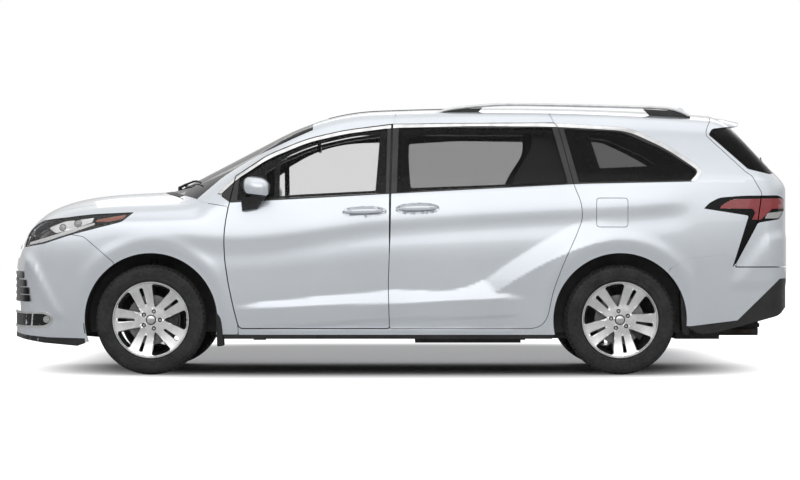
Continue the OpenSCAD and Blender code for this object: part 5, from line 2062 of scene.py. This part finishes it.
def between(tree, value, low, high, start, end):
    node = tree.nodes.new("ShaderNodeMapRange")
    node.interpolation_type = "SMOOTHSTEP"
    tree.links.new(value, node.inputs["Value"])
    for socket, number in zip(node.inputs[1:5], (low, high, start, end)):
        socket.default_value = number
    return node.outputs[0]


def seen_through(tree):
    """1 for what the camera sees, straight or through glass."""
    path = tree.nodes.new("ShaderNodeLightPath").outputs
    return math_node(tree, "MAXIMUM", path["Is Camera Ray"], path["Is Transmission Ray"])


def studio_white(tree, lit):
    """Adds plain white to what the camera sees, away from the car; in an oval round the car that reaches
    further to its far side none is added, so the real shadow stays and the lit floor there stays grey as
    painted shade.
    """
    glow = tree.nodes.new("ShaderNodeEmission")
    place = tree.nodes.new("ShaderNodeNewGeometry")
    split = tree.nodes.new("ShaderNodeSeparateXYZ")
    tree.links.new(place.outputs["Position"], split.inputs[0])
    along = math_node(tree, "DIVIDE", split.outputs[0], 2.35)
    cross = math_node(tree, "DIVIDE", math_node(tree, "SUBTRACT", split.outputs[1], 1.9), 3.3)
    powers = [math_node(tree, "POWER", math_node(tree, "ABSOLUTE", v), 4) for v in (along, cross)]
    round_car = math_node(tree, "ADD", *powers)
    tree.links.new(between(tree, round_car, 0.3, 1.6, 0.0, 1.0), glow.inputs["Strength"])
    off = tree.nodes.new("ShaderNodeEmission")
    off.inputs["Strength"].default_value = 0
    pick = tree.nodes.new("ShaderNodeMixShader")
    tree.links.new(seen_through(tree), pick.inputs[0])
    tree.links.new(off.outputs[0], pick.inputs[1])
    tree.links.new(glow.outputs[0], pick.inputs[2])
    both = tree.nodes.new("ShaderNodeAddShader")
    tree.links.new(lit, both.inputs[0])
    tree.links.new(pick.outputs[0], both.inputs[1])
    return both.outputs[0]


ground = bpy.data.materials.new("studio_floor")
ground.use_nodes = True
tree = ground.node_tree
tree.nodes.clear()
lit = tree.nodes.new("ShaderNodeBsdfDiffuse")
seen = tree.nodes.new("ShaderNodeLightPath").outputs["Is Camera Ray"]
shade = tree.nodes.new("ShaderNodeMix")
shade.data_type = "RGBA"
tree.links.new(seen, shade.inputs[0])
shade.inputs[6].default_value = (0.82, 0.82, 0.82, 1)
shade.inputs[7].default_value = (0.7, 0.7, 0.71, 1)
tree.links.new(shade.outputs[2], lit.inputs["Color"])
surface = tree.nodes.new("ShaderNodeOutputMaterial")
tree.links.new(studio_white(tree, lit.outputs[0]), surface.inputs[0])
clothe(floor, ground)

world = bpy.data.worlds.new("studio")
scene.world = world
world.use_nodes = True
tree = world.node_tree
tree.nodes.clear()
soft = tree.nodes.new("ShaderNodeBackground")
soft.inputs["Color"].default_value = (1, 1, 1, 1)
sky = tree.nodes.new("ShaderNodeTexCoord")
split = tree.nodes.new("ShaderNodeSeparateXYZ")
tree.links.new(sky.outputs["Generated"], split.inputs[0])
glossy = tree.nodes.new("ShaderNodeLightPath").outputs["Is Glossy Ray"]
part = math_node(tree, "ADD", 0.42, math_node(tree, "MULTIPLY", glossy, 0.58))
tree.links.new(
    math_node(tree, "MULTIPLY", part, between(tree, split.outputs[2], 0.02, 0.45, 0.55, 1.0)),
    soft.inputs["Strength"]
)
white = tree.nodes.new("ShaderNodeBackground")
white.inputs["Color"].default_value = (1, 1, 1, 1)
white.inputs["Strength"].default_value = 1.0
pick = tree.nodes.new("ShaderNodeMixShader")
tree.links.new(seen_through(tree), pick.inputs[0])
tree.links.new(soft.outputs[0], pick.inputs[1])
tree.links.new(white.outputs[0], pick.inputs[2])
surface = tree.nodes.new("ShaderNodeOutputWorld")
tree.links.new(pick.outputs[0], surface.inputs[0])

for name, place, size, power in (
    ("top_light", (0.5, -1.0, 6.5), (8.0, 4.5), 50),
    ("side_light", (-1.0, -9.0, 5.2), (12.0, 6.0), 190),
    ("far_light", (1.0, 8.0, 5.0), (9.0, 2.5), 60),
):
    lamp = linked(name, bpy.data.lights.new(name, "AREA"))
    lamp.data.shape = "RECTANGLE"
    lamp.data.size, lamp.data.size_y = size
    lamp.data.energy = power
    lamp.location = place
    aim(lamp, (0, 0, 0.7))

for cutter in CUTTERS:
    bpy.data.objects.remove(cutter)


bpy.context.view_layer.update()
